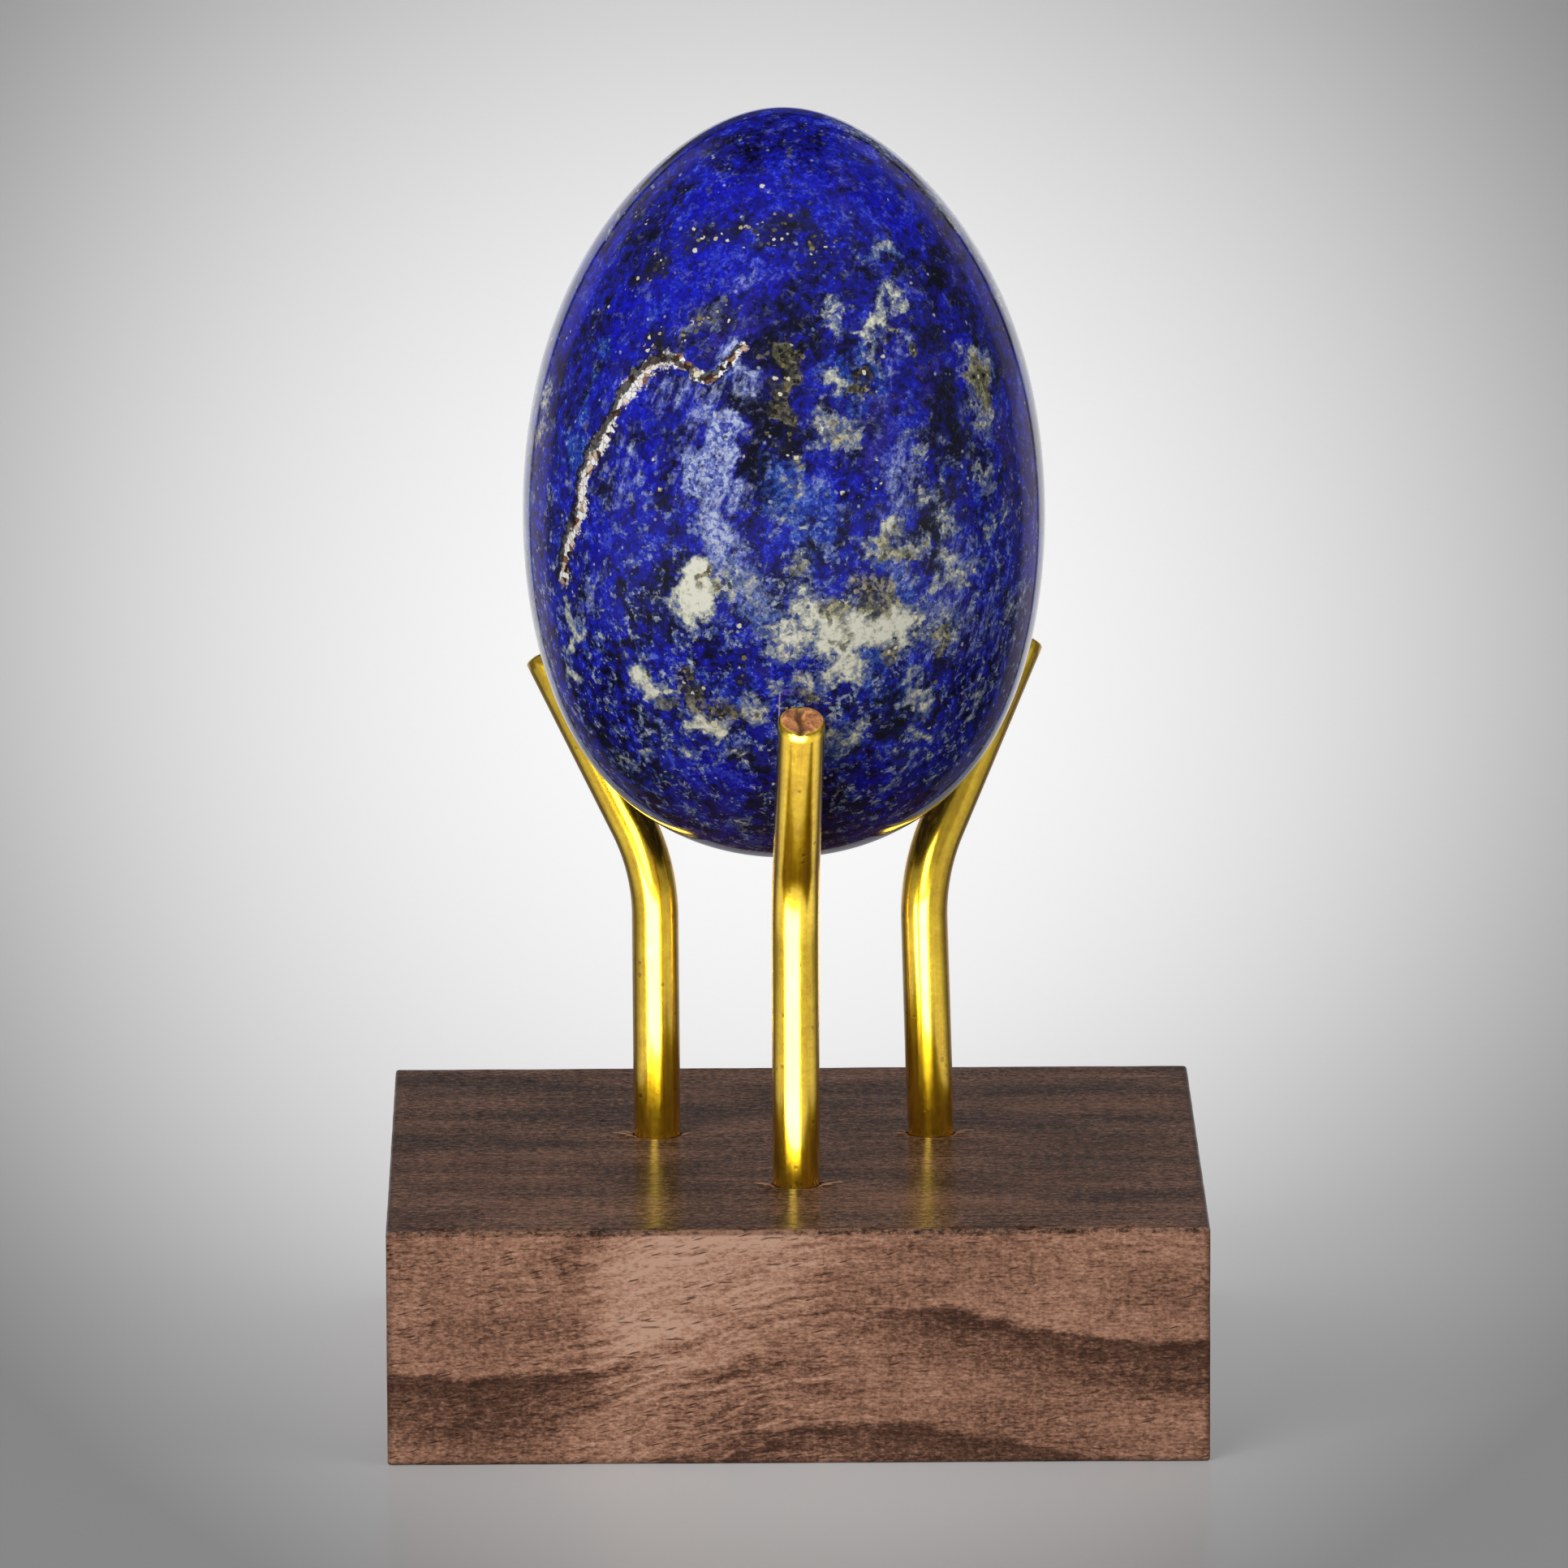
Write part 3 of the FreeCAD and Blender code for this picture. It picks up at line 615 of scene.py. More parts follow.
def lapis(specks, mottle, ragged):
    """Polished lapis lazuli: blues from night to azure, pale calcite, ochre stains and crystals of pyrite."""
    material, t, shader = new_material("polished_lapis_lazuli")
    place = t.place_in_mm((EGG_BOX[0] + EGG_BOX[1]) / 2)
    turned = t.mapping(place, turn=(0, math.radians(-33), 0))
    flow = t.warp(t.mapping(turned, scale=(1, 1, 0.6)), 0.13, 2.2)
    # The haze, violet and night fields carry painted reflections and painted shade along the egg's edges, as
    # well as the stone's own veils and zones.
    calcite, haze_and_reflections, azure, royal, night, violet_and_reflections, ochre, ore, glint, vein, vein_shade = map(t.field, STONE_FIELDS)

    cloud = t.noise(flow, 0.15, 3, 0.6)
    drift = t.noise(flow, 0.62, 5, 0.72)
    patchy = t.noise(place, 0.9, 4, 0.7)
    grit = t.noise(place, 3.0, 3, 0.75)
    cells = t.cells(t.warp(place, 2.0, 0.22), 2.5)
    grain = t.chances(cells)
    height = t.parts(place)[2]
    low_down = t.step(height, 12.0, -14.0)
    # Painted light: the term on the height below -22 mm makes the lowest part of the stone lighter, standing in
    # for light that reaches it from below.
    value = t.plus(
        0.47, t.around_zero(cloud, 1.0), t.around_zero(drift, 1.5), t.around_zero(patchy, 1.1),
        t.around_zero(grit, 1.0), t.around_zero(grain[0], 0.22), t.times(royal, 0.16), t.times(night, -0.42),
        t.times(t.step(height, -22.0, -34.0), 0.30), t.times(t.around_zero(patchy, 0.9), low_down),
    )
    blue = t.tones(value, (
        (0.04, 8, 8, 26), (0.24, 15, 14, 62), (0.44, 26, 25, 120), (0.62, 22, 27, 168),
        (0.80, 34, 48, 200), (1.0, 92, 112, 218),
    ))
    # Painted light: the lowest part is turned lighter and greyer, standing in for light from below.
    blue = t.mix(t.times(t.step(height, -18.0, -32.0), 0.34), blue, paint(74, 70, 122))
    deep = t.step(t.plus(royal, t.around_zero(drift, 1.5), t.around_zero(patchy, 0.5)), 0.30, 0.90)
    deep_grain = t.spread(t.plus(grit, t.around_zero(patchy, 0.8)), 0.34, 0.66)
    blue = t.mix(t.times(deep, 0.72), blue, t.mix(deep_grain, paint(10, 8, 112), paint(19, 21, 214)))
    # Painted reflection in part: the violet bands along the edges.
    lilac_and_reflection = t.step(t.plus(violet_and_reflections, t.around_zero(drift, 1.9)), 0.35, 0.95)
    lilac_tone = t.mix(t.spread(grit, 0.35, 0.65), paint(40, 32, 96), paint(74, 60, 158))
    blue = t.mix(t.times(lilac_and_reflection, 0.55), blue, lilac_tone)

    near_calcite = t.plus(t.times(calcite, 0.9), azure, t.around_zero(drift, 1.5), t.around_zero(patchy, 1.1),
                          t.times(low_down, 0.12))
    halo = t.step(near_calcite, 0.42, 1.0)
    azure_tone = t.tones(t.plus(grit, t.around_zero(grain[1], 0.34)), (
        (0.28, 22, 42, 128), (0.48, 34, 76, 184), (0.62, 74, 116, 206), (0.78, 150, 174, 226),
    ))
    blue = t.mix(t.times(halo, 0.72), blue, azure_tone)
    leaning = t.mapping(place, turn=(0, math.radians(-20), 0))
    streaky = t.stretched(leaning, (1.5, 1.5, 0.26), 4, 0.65)
    # Painted reflection in part: the veil's pale tones also stand in for reflections along the edges and in the
    # streak.
    veil_and_reflection = t.step(t.plus(haze_and_reflections, t.around_zero(streaky, 1.7), t.around_zero(patchy, 0.8)), 0.28, 1.0)
    veil_tone = t.tones(t.plus(grit, t.around_zero(grain[2], 0.30)), (
        (0.28, 60, 68, 156), (0.45, 118, 134, 210), (0.63, 204, 214, 238),
    ))
    blue = t.mix(t.times(veil_and_reflection, 0.92), blue, veil_tone)

    scatter_noise = t.noise(t.warp(place, 0.5, 0.9), 0.72, 5, 0.74)
    scatter = t.times(t.step(scatter_noise, 0.51, 0.63), t.spread(low_down, 0, 1, 0.16, 1.0))
    scatter_tone = t.tones(t.plus(grit, t.around_zero(grain[1], 0.5)), (
        (0.26, 30, 42, 112), (0.42, 64, 92, 178), (0.56, 136, 156, 206), (0.74, 214, 220, 222),
    ))
    blue = t.mix(t.times(scatter, 0.88), blue, scatter_tone)

    soot_share = t.plus(
        t.times(t.step(patchy, 0.40, 0.62), 0.16), t.times(night, 0.22), t.times(low_down, 0.13), 0.02,
    )
    soot = t.use(specks, {"Place": place, "Size": 0.50, "Share": soot_share, "Softness": 0.24})
    blue = t.mix(t.times(soot["Mask"], 0.80), blue, t.mix(soot["Tone"], paint(8, 8, 26), paint(26, 26, 40)))
    crumb_share = t.plus(0.05, t.times(halo, 0.20), t.times(veil_and_reflection, 0.12), t.times(scatter, 0.15))
    crumbs = t.use(specks, {"Place": t.mapping(place, move=(5, 3, 7)), "Size": 0.46, "Share": crumb_share,
                            "Softness": 0.26})
    crumb_tone = t.mix(crumbs["Tone"], paint(74, 112, 190), paint(206, 214, 222))
    blue = t.mix(t.times(crumbs["Mask"], 0.70), blue, crumb_tone)

    def cut_out(field, scale, rough, soft):
        """A field cut off along a ragged line."""
        feeds = {"Field": field, "Place": place, "Scale": scale, "Raggedness": rough, "Softness": soft}
        return t.use(ragged, feeds)["Mask"]

    patch_field = t.plus(
        calcite, t.times(scatter, 0.34), t.around_zero(drift, 0.8), t.around_zero(grain[0], 0.34),
    )
    gaps = t.times(t.math("LESS_THAN", grain[1], 0.30), 0.70, t.step(calcite, 1.2, 0.8))
    pale = t.times(cut_out(patch_field, 1.9, 1.5, 0.26), t.minus(1.0, gaps))
    pale_tone = t.use(mottle, {"Place": place, "Coarse": 1.0, "Fine": 3.6, "Contrast": 3.0})["Tone"]
    strength = t.times(t.plus(t.math("MINIMUM", calcite, 1.5), -0.84), 0.80)
    pale_tone = t.plus(pale_tone, strength, t.around_zero(grain[2], 0.34), t.around_zero(patchy, 0.8))
    stone = t.tones(pale_tone, (
        (0.0, 70, 84, 138), (0.26, 126, 138, 164), (0.50, 180, 182, 174), (0.74, 224, 223, 200),
        (0.95, 246, 244, 226),
    ))
    colour = t.mix(pale, blue, stone)

    stained = t.step(t.plus(ochre, t.around_zero(patchy, 1.0), t.around_zero(grain[0], 0.4)), 0.36, 0.80)
    stain_tone = t.tones(t.plus(grit, t.around_zero(grain[2], 0.5)), (
        (0.25, 38, 36, 30), (0.42, 92, 88, 56), (0.58, 146, 138, 92), (0.78, 200, 190, 142),
    ))
    colour = t.mix(t.times(stained, 0.78), colour, stain_tone)

    chain_place = t.warp(place, 1.4, 0.2)
    chain = t.chances(t.cells(chain_place, 1.7))[0]
    rims = t.cells(chain_place, 1.7, feature="DISTANCE_TO_EDGE").outputs[0]
    line_tone = t.tones(t.plus(chain, t.around_zero(grit, 0.35)), (
        (0.06, 34, 24, 28), (0.16, 150, 104, 66), (0.30, 220, 184, 150), (0.46, 240, 228, 222),
        (0.68, 254, 253, 248),
    ))
    line_tone = t.mix(t.times(t.step(rims, 0.08, 0.02), 0.55), line_tone, paint(58, 46, 62))
    colour = t.mix(cut_out(vein, 2.3, 1.9, 0.10), colour, line_tone)
    shade = cut_out(vein_shade, 2.0, 2.6, 0.12)
    colour = t.mix(t.times(shade, 0.88), colour, paint(20, 15, 22))

    broken_ore = t.plus(ore, t.around_zero(patchy, 1.0), t.around_zero(grain[0], 0.2))
    ore_here = t.times(t.step(broken_ore, 0.24, 0.90), t.step(ore, 0.05, 0.24))
    colour = t.mix(t.times(ore_here, 0.64), colour, t.mix(pale, paint(28, 27, 32), paint(92, 86, 60)))
    crystal_share = t.plus(0.003, t.times(ore_here, 0.86))
    crystals = t.use(specks, {"Place": place, "Size": 0.50, "Share": crystal_share, "Softness": 0.10})
    # Painted glints: the glint field turns small crystals near-white, standing in for the light they catch.
    glint_mask = t.step(t.plus(glint, t.around_zero(grit, 0.4)), 0.66, 0.82)
    crystal_mask = t.math("MAXIMUM", crystals["Mask"], glint_mask)
    crystal_tone = t.tones(t.math("MAXIMUM", crystals["Tone"], t.times(glint_mask, 0.93)), (
        (0.0, 22, 22, 20), (0.26, 58, 58, 44), (0.54, 116, 110, 74), (0.78, 196, 176, 108),
        (0.93, 252, 246, 220),
    ))
    colour = t.mix(crystal_mask, colour, crystal_tone)

    t.feed(shader.inputs["Base Color"], colour)
    t.feed(shader.inputs["Metallic"], t.times(crystal_mask, 0.35))
    t.feed(shader.inputs["Roughness"], t.plus(0.06, t.times(crystal_mask, 0.2), t.times(pale, 0.05)))
    shader.inputs["IOR"].default_value = 1.5
    shader.inputs["Specular IOR Level"].default_value = 0.26
    wear = t.plus(t.times(crystal_mask, 0.6), t.times(pale, -0.25), t.around_zero(grit, 0.25))
    t.relief(shader, 0.10, 0.02, wear)
    return material


# The rods

def straight_place(point, upright, turn):
    """A point of a bent rod as it was before the bar was bent: across, across and along, in millimetres."""
    x, y, z = point
    if z <= upright and x < BEND_RADIUS:
        return x, y, z
    from_middle = Vector((BEND_RADIUS - x, 0, z - upright))
    round_bend = math.atan2(from_middle.z, from_middle.x)
    if round_bend <= turn:
        return BEND_RADIUS - from_middle.length, y, upright + BEND_RADIUS * round_bend
    outwards = Vector((math.cos(turn), 0, -math.sin(turn)))
    onwards = Vector((math.sin(turn), 0, math.cos(turn)))
    bend_end = Vector((BEND_RADIUS - BEND_RADIUS * math.cos(turn), 0, upright + BEND_RADIUS * math.sin(turn)))
    past = Vector((x, 0, z)) - bend_end
    return past.dot(outwards), y, upright + BEND_RADIUS * turn + past.dot(onwards)


def run_on(bm, ring, push, steps):
    """Draws a ring of edges on in a straight line. Returns the last ring."""
    for _ in range(steps):
        grown = bmesh.ops.extrude_edge_only(bm, edges=ring)["geom"]
        ring = [part for part in grown if isinstance(part, bmesh.types.BMEdge) and all(
            vert in grown for vert in part.verts)]
        verts = [part for part in grown if isinstance(part, bmesh.types.BMVert)]
        bmesh.ops.translate(bm, verts=verts, vec=Vector(push) / steps)
    return ring


def ring_verts(ring):
    """The points of a ring of edges, each once and always in the same order."""
    return list(dict.fromkeys(vert for edge in ring for vert in edge.verts))


def rod_mesh(upright, turn, arm):
    """One bent rod in its own frame, in millimetres, and where its flat cut end lies."""
    bm = bmesh.new()
    end_radius = ROD_RADIUS - ROD_END_BEVEL
    start = bmesh.ops.create_circle(bm, cap_ends=False, radius=end_radius, segments=ROD_SIDES)["verts"]
    bmesh.ops.translate(bm, verts=start, vec=(0, 0, -HOLE_DEPTH))
    foot = bm.edges[:]
    bmesh.ops.edgeloop_fill(bm, edges=foot)
    ring = run_on(bm, foot, (0, 0, ROD_END_BEVEL), 1)
    grow = ROD_RADIUS / end_radius
    bmesh.ops.scale(bm, vec=(grow, grow, 1), verts=ring_verts(ring))
    ring = run_on(bm, ring, (0, 0, HOLE_DEPTH - ROD_END_BEVEL + upright), UPRIGHT_RINGS)
    spun = bmesh.ops.spin(bm, geom=ring_verts(ring) + ring, cent=(BEND_RADIUS, 0, upright), axis=(0, 1, 0),
                          angle=turn, steps=BEND_RINGS)["geom_last"]
    ring = [part for part in spun if isinstance(part, bmesh.types.BMEdge)]
    onwards = Vector((math.sin(turn), 0, math.cos(turn)))
    ring = run_on(bm, ring, onwards * (arm - ROD_END_BEVEL), ARM_RINGS)
    ring = run_on(bm, ring, onwards * ROD_END_BEVEL, 1)
    tip = sum((vert.co for vert in ring_verts(ring)), Vector()) / ROD_SIDES
    level = Matrix.Translation(tip) @ Matrix.Rotation(turn, 4, "Y")
    bmesh.ops.scale(bm, vec=(1 / grow, 1 / grow, 1), verts=ring_verts(ring), space=level.inverted())
    end = bmesh.ops.edgeloop_fill(bm, edges=ring)["faces"]
    for _ in range(END_RINGS):
        bmesh.ops.inset_region(bm, faces=end, thickness=END_RING_WIDTH, use_even_offset=True)
    bmesh.ops.recalc_face_normals(bm, faces=bm.faces)
    return bm, level


def crease_end(bm, level, seed):
    """Presses a cutter's pinch line and its two hollow facets into a rod's end. Returns each point's dent."""
    inverse = level.inverted()
    dents = {}
    picker = Vector((seed * 7.1, seed * 3.3, 0))
    for vert in bm.verts:
        at = inverse @ vert.co
        if at.z < -0.01 or math.hypot(at.x, at.y) > ROD_RADIUS - 0.1:
            continue
        wander = 0.18 * noise.noise(Vector((at.x * 0.9, 0, 0)) + picker)
        line = math.exp(-((at.y - wander + 0.12) / 0.26) ** 2)
        dents[vert] = line
        lumps = noise.noise(Vector((at.x, at.y, 0)) * 1.6 + picker)
        rim = 1 - (math.hypot(at.x, at.y) / ROD_RADIUS) ** 4
        at.z += rim * (0.10 * abs(at.y) - 0.50 * line + 0.10 * lumps)
        vert.co = level @ at
    return dents


def place_rod(name):
    """The rod's frame in the object, in metres: hole mouth, heading and tilt."""
    place, twist, tilt = (math.radians(angle) for angle in RODS[name][:3])
    mouth = Vector((
        ROD_CIRCLE_RADIUS * math.cos(place),
        ROD_CIRCLE_RADIUS * math.sin(place) - ROD_CIRCLE_FORWARD,
        BLOCK_TOP,
    ))
    turn = Matrix.Rotation(place + twist, 4, "Z") @ Matrix.Rotation(tilt, 4, "Y")
    return Matrix.Scale(MM, 4) @ Matrix.Translation(mouth) @ turn


def finished_rod_mesh(name, seed):
    """A rod in its place, with its creased end, and with the fields that its metal is drawn from."""
    upright, lean, arm = RODS[name][3:]
    turn = math.radians(lean - RODS[name][2])
    bm, level = rod_mesh(upright, turn, arm)
    dents = crease_end(bm, level, seed)
    inverse = level.inverted()
    bm.verts.ensure_lookup_table()
    unbent = [straight_place(vert.co, upright, turn) for vert in bm.verts]
    cut = []
    for vert in bm.verts:
        at = inverse @ vert.co
        inside = math.hypot(at.x, at.y) < ROD_RADIUS - 0.16 and at.z > -1
        cut.append(1.0 if inside else 0.0)
    # Each point's dent, which the metal darkens as painted shade in the pinch line.
    crease_shade = [dents.get(vert, 0.0) for vert in bm.verts]
    bmesh.ops.transform(bm, matrix=place_rod(name), verts=bm.verts)
    mesh = mesh_of(bm, f"{name}_bar")
    attribute = mesh.attributes.new("unbent", "FLOAT_VECTOR", "POINT")
    attribute.data.foreach_set("vector", np.array(unbent, dtype=np.float32).ravel())
    write_field(mesh, "cut_end", cut)
    write_field(mesh, "crease_shade", crease_shade)
    return mesh


def brass(specks, mottle):
    """Bare drawn brass: fine lines along the bar, a little tarnish, and a coppery cut end."""
    material, t, shader = new_material("drawn_brass")
    bar = t.node("ShaderNodeAttribute", attribute_name="unbent").outputs["Vector"]
    drawn = t.stretched(bar, (5.5, 5.5, 0.10), 4, 0.7)
    scratch = t.stretched(bar, (14, 14, 0.35), 2, 0.6)
    cloud = t.use(mottle, {"Place": bar, "Coarse": 0.35, "Fine": 2.2, "Contrast": 2.6})["Tone"]
    grain = t.noise(bar, 9.0, 2, 0.6)
    tone = t.plus(t.times(cloud, 0.5), t.times(drawn, 0.5))
    metal = t.tones(tone, (
        (0.25, 208, 160, 14), (0.5, 235, 192, 24), (0.75, 250, 214, 50),
    ))
    pits = t.use(specks, {"Place": bar, "Size": 0.5, "Share": 0.05, "Softness": 0.2})["Mask"]
    metal = t.mix(t.times(pits, 0.5), metal, paint(110, 82, 30))
    cut = t.field("cut_end")
    copper = t.tones(t.use(mottle, {"Place": bar, "Coarse": 1.1, "Fine": 5.0, "Contrast": 3.0})["Tone"], (
        (0.1, 86, 50, 24), (0.5, 164, 102, 56), (0.9, 216, 160, 102),
    ))
    # Painted shade: the cutter's pinch line on the cut end is darkened.
    copper = t.mix(t.times(t.field("crease_shade"), 0.85), copper, paint(52, 40, 16))
    t.feed(shader.inputs["Base Color"], t.mix(cut, metal, copper))
    t.feed(shader.inputs["Metallic"], t.spread(cut, 0, 1, 1.0, 0.2))
    dull = t.plus(0.19, t.around_zero(grain, 0.16), t.around_zero(drawn, 0.10), t.times(cut, 0.3))
    t.feed(shader.inputs["Roughness"], dull)
    shader.inputs["Coat Weight"].default_value = 0.5
    shader.inputs["Coat Roughness"].default_value = 0.10
    shader.inputs["Coat IOR"].default_value = 1.85
    wear = t.plus(t.around_zero(scratch, 0.5), t.around_zero(grain, 0.5), t.times(pits, -0.6))
    t.relief(shader, 0.35, 0.02, wear)
    return material


# The block

# Where one ring of the wood runs across the front, in pixels, from left to right.
FRONT_RING = (
    (478, 1705), (740, 1690), (817, 1658), (866, 1650), (933, 1626), (985, 1616), (1098, 1609), (1171, 1619),
    (1237, 1633), (1317, 1646), (1383, 1652), (1482, 1656),
)
# Lighter and darker places on the front: across and up in millimetres, reach both ways, and strength.
FRONT_BLOTCHES = (
    (-8.0, 15.5, 11.5, 8.5, 0.37), (-17.6, 18.0, 4.0, 3.4, -0.15), (2.0, 8.0, 14.0, 5.0, 0.06),
    (-27.0, 2.5, 10.0, 5.0, -0.08), (22.0, 3.0, 18.0, 4.0, -0.1), (-14.0, 7.5, 4.0, 9.0, 0.08),
)
# Nicks in the upper front edge: where across, in millimetres, and how deep.
BLOCK_NICKS = (
    (-29.5, 0.9), (-21.0, 0.5), (-11.5, 0.7), (-4.0, 0.4), (6.5, 0.6), (13.0, 0.35), (19.0, 0.8), (27.0, 0.5),
)
EDGE_EASE, EDGE_WANDER, NICK_DEPTH, NICK_WIDTH, BLOCK_CUTS = 0.28, 0.07, 0.28, 0.9, 63
# The drill's cut: heights from the block's top, and radii.
CUT_PROFILE = (
    (-HOLE_DEPTH, ROD_RADIUS + HOLE_ROOM), (-0.30, ROD_RADIUS + HOLE_ROOM), (0.0, ROD_RADIUS + 0.10),
    (1.0, ROD_RADIUS + 0.30),
)
CUT_SIDES, CUT_RAGGEDNESS = 64, 0.05


def block_mesh():
    """The board before it is drilled: eased edges that wander a little, and small nicks in the front edge."""
    low, high = BLOCK_BOX
    middle = (low + high) / 2
    size = high - low
    bm = bmesh.new()
    bmesh.ops.create_cube(bm, size=1)
    bmesh.ops.scale(bm, vec=size, verts=bm.verts)
    bmesh.ops.translate(bm, verts=bm.verts, vec=middle)
    bmesh.ops.bevel(bm, geom=bm.edges[:], offset=EDGE_EASE * MM, segments=3, affect="EDGES", profile=0.5,
                    material=-1)
    long_edges = [edge for edge in bm.edges if edge.calc_length() > 5 * MM]
    bmesh.ops.subdivide_edges(bm, edges=long_edges, cuts=BLOCK_CUTS, use_grid_fill=True)
    for vert in bm.verts:
        inset = [min(vert.co[axis] - low[axis], high[axis] - vert.co[axis]) for axis in range(3)]
        near_edge = sorted(inset)[1] < 0.5 * MM
        if not near_edge:
            continue
        inwards = (middle - vert.co).normalized()
        wander = 0.5 + 0.5 * noise.noise(vert.co * 260)
        pull = EDGE_WANDER * wander * wander
        if vert.co.y < low.y + 0.6 * MM and vert.co.z > high.z - 0.6 * MM:
            for x, depth in BLOCK_NICKS:
                pull += NICK_DEPTH * depth * math.exp(-((vert.co.x / MM - x) / NICK_WIDTH) ** 2)
        side = Vector((inwards.x / size.x, inwards.y / size.y, inwards.z / size.z)).normalized()
        vert.co += side * pull * MM
    bmesh.ops.recalc_face_normals(bm, faces=bm.faces)
    return mesh_of(bm, "walnut_block", smooth=False)


def hole_cutter(name, seed):
    """A drill's cut, a little wider and ragged at its mouth, where the fibres tore."""
    bm = bmesh.new()
    height, radius = CUT_PROFILE[0]
    ring = bmesh.ops.create_circle(bm, cap_ends=False, radius=radius, segments=CUT_SIDES)["verts"]
    bmesh.ops.translate(bm, verts=ring, vec=(0, 0, height))
    edges = bm.edges[:]
    bmesh.ops.edgeloop_fill(bm, edges=edges)
    for next_height, next_radius in CUT_PROFILE[1:]:
        edges = run_on(bm, edges, (0, 0, next_height - height), 1)
        grow = next_radius / radius
        bmesh.ops.scale(bm, vec=(grow, grow, 1), verts=ring_verts(edges))
        height, radius = next_height, next_radius
        if height >= 0:
            for vert in ring_verts(edges):
                ragged = 1 + CUT_RAGGEDNESS * max(0, noise.noise(vert.co * 1.7 + Vector((seed, 0, 0))))
                vert.co.x *= ragged
                vert.co.y *= ragged
    bmesh.ops.edgeloop_fill(bm, edges=edges)
    bmesh.ops.recalc_face_normals(bm, faces=bm.faces)
    bmesh.ops.transform(bm, matrix=place_rod(name), verts=bm.verts)
    return placed(f"{name}_cut", mesh_of(bm, f"{name}_cut", smooth=False))


def drilled(mesh):
    """The block's mesh with the three holes cut out of it."""
    block = placed("block_blank", mesh)
    cutters = [hole_cutter(name, 11 * number) for number, name in enumerate(RODS)]
    for cutter in cutters:
        cut = block.modifiers.new(cutter.name, "BOOLEAN")
        cut.operation, cut.solver, cut.object = "DIFFERENCE", "EXACT", cutter
    bpy.context.view_layer.update()
    finished = bpy.data.meshes.new_from_object(block.evaluated_get(bpy.context.evaluated_depsgraph_get()))
    for thing in (block, *cutters):
        bpy.data.objects.remove(thing)
    return finished


# Torn fibres at the mouth of each hole: heading round the rod in degrees, length and width in millimetres.
TORN_FIBRES = {
    "front_rod": (
        (-168, 1.5, 0.34), (-150, 0.9, 0.30), (-28, 1.2, 0.32),
        (-8, 1.9, 0.40), (18, 1.1, 0.30), (196, 0.8, 0.26),
    ),
    "rear_right_rod": ((-160, 1.0, 0.28), (-20, 0.9, 0.30), (6, 1.6, 0.36), (172, 0.8, 0.26)),
    "rear_left_rod": ((-170, 1.7, 0.36), (-146, 0.9, 0.28), (-12, 1.0, 0.30), (168, 1.2, 0.32)),
}
FIBRE_ROOM, FIBRE_THICKNESS = 0.12, 0.09


def torn_fibres_mesh():
    """Slivers of wood that the drill lifted: thin tapered strips along the grain, with a curled free end."""
    bm = bmesh.new()
    for number, (name, fibres) in enumerate(TORN_FIBRES.items()):
        mouth = place_rod(name).translation / MM
        for count, (heading, length, width) in enumerate(fibres):
            strip = bmesh.ops.create_grid(bm, x_segments=6, y_segments=2, size=0.5)["verts"]
            turn, reach = math.radians(heading), ROD_RADIUS + FIBRE_ROOM
            outwards = 1 if math.cos(turn) > 0 else -1
            root = Vector((mouth.x + reach * math.cos(turn), mouth.y + reach * math.sin(turn), 0))
            for vert in strip:
                along, across = vert.co.x + 0.5, vert.co.y
                lean = 0.25 * noise.noise(Vector((number * 5.0, count * 3.0, along)))
                vert.co = root + Vector((
                    outwards * along * length,
                    across * width * (1 - 0.8 * along) + lean * along * length,
                    BLOCK_TOP + 0.03 + 0.34 * width * math.sin(2.4 * along) + 0.10 * along,
                ))
            faces = list(dict.fromkeys(face for vert in strip for face in vert.link_faces))
            bmesh.ops.solidify(bm, geom=faces, thickness=FIBRE_THICKNESS)
    bmesh.ops.recalc_face_normals(bm, faces=bm.faces)
    bmesh.ops.scale(bm, vec=(MM, MM, MM), verts=bm.verts)
    return mesh_of(bm, "torn_fibres")


def bare_fibres(mottle):
    """Fresh unoiled wood, paler than the face it was torn from."""
    material, t, shader = new_material("torn_walnut_fibres")
    place = t.mapping(t.place_in_mm(), scale=(1, 6, 6))
    tone = t.use(mottle, {"Place": place, "Coarse": 1.2, "Fine": 6.0, "Contrast": 3.0})["Tone"]
    t.feed(shader.inputs["Base Color"], t.tones(tone, (
        (0.1, 92, 64, 48), (0.5, 158, 118, 92), (0.9, 208, 172, 142),
    )))
    shader.inputs["Roughness"].default_value = 0.8
    t.relief(shader, 0.4, 0.03, tone)
    return material


def front_ring_height(t, x):
    """How high one ring of the wood runs across the front, in millimetres."""
    curve = t.node("ShaderNodeFloatCurve", {"Value": t.spread(x, -BLOCK_HALF_WIDTH, BLOCK_HALF_WIDTH)})
    line = curve.mapping.curves[0]
    front = BLOCK_BOX[0].y
    ring_places = []
    for px, py in FRONT_RING:
        eye, ray = pixel_ray(px, py)
        seen = eye + ray * ((front - eye.y) / ray.y)
        across = (seen.x / MM + BLOCK_HALF_WIDTH) / (2 * BLOCK_HALF_WIDTH)
        ring_places.append((across, seen.z / MM / BLOCK_TOP))
    line.points[0].location, line.points[1].location = ring_places[0], ring_places[-1]
    for where in ring_places[1:-1]:
        line.points.new(*where)
    curve.mapping.update()
    return t.times(curve.outputs[0], BLOCK_TOP)


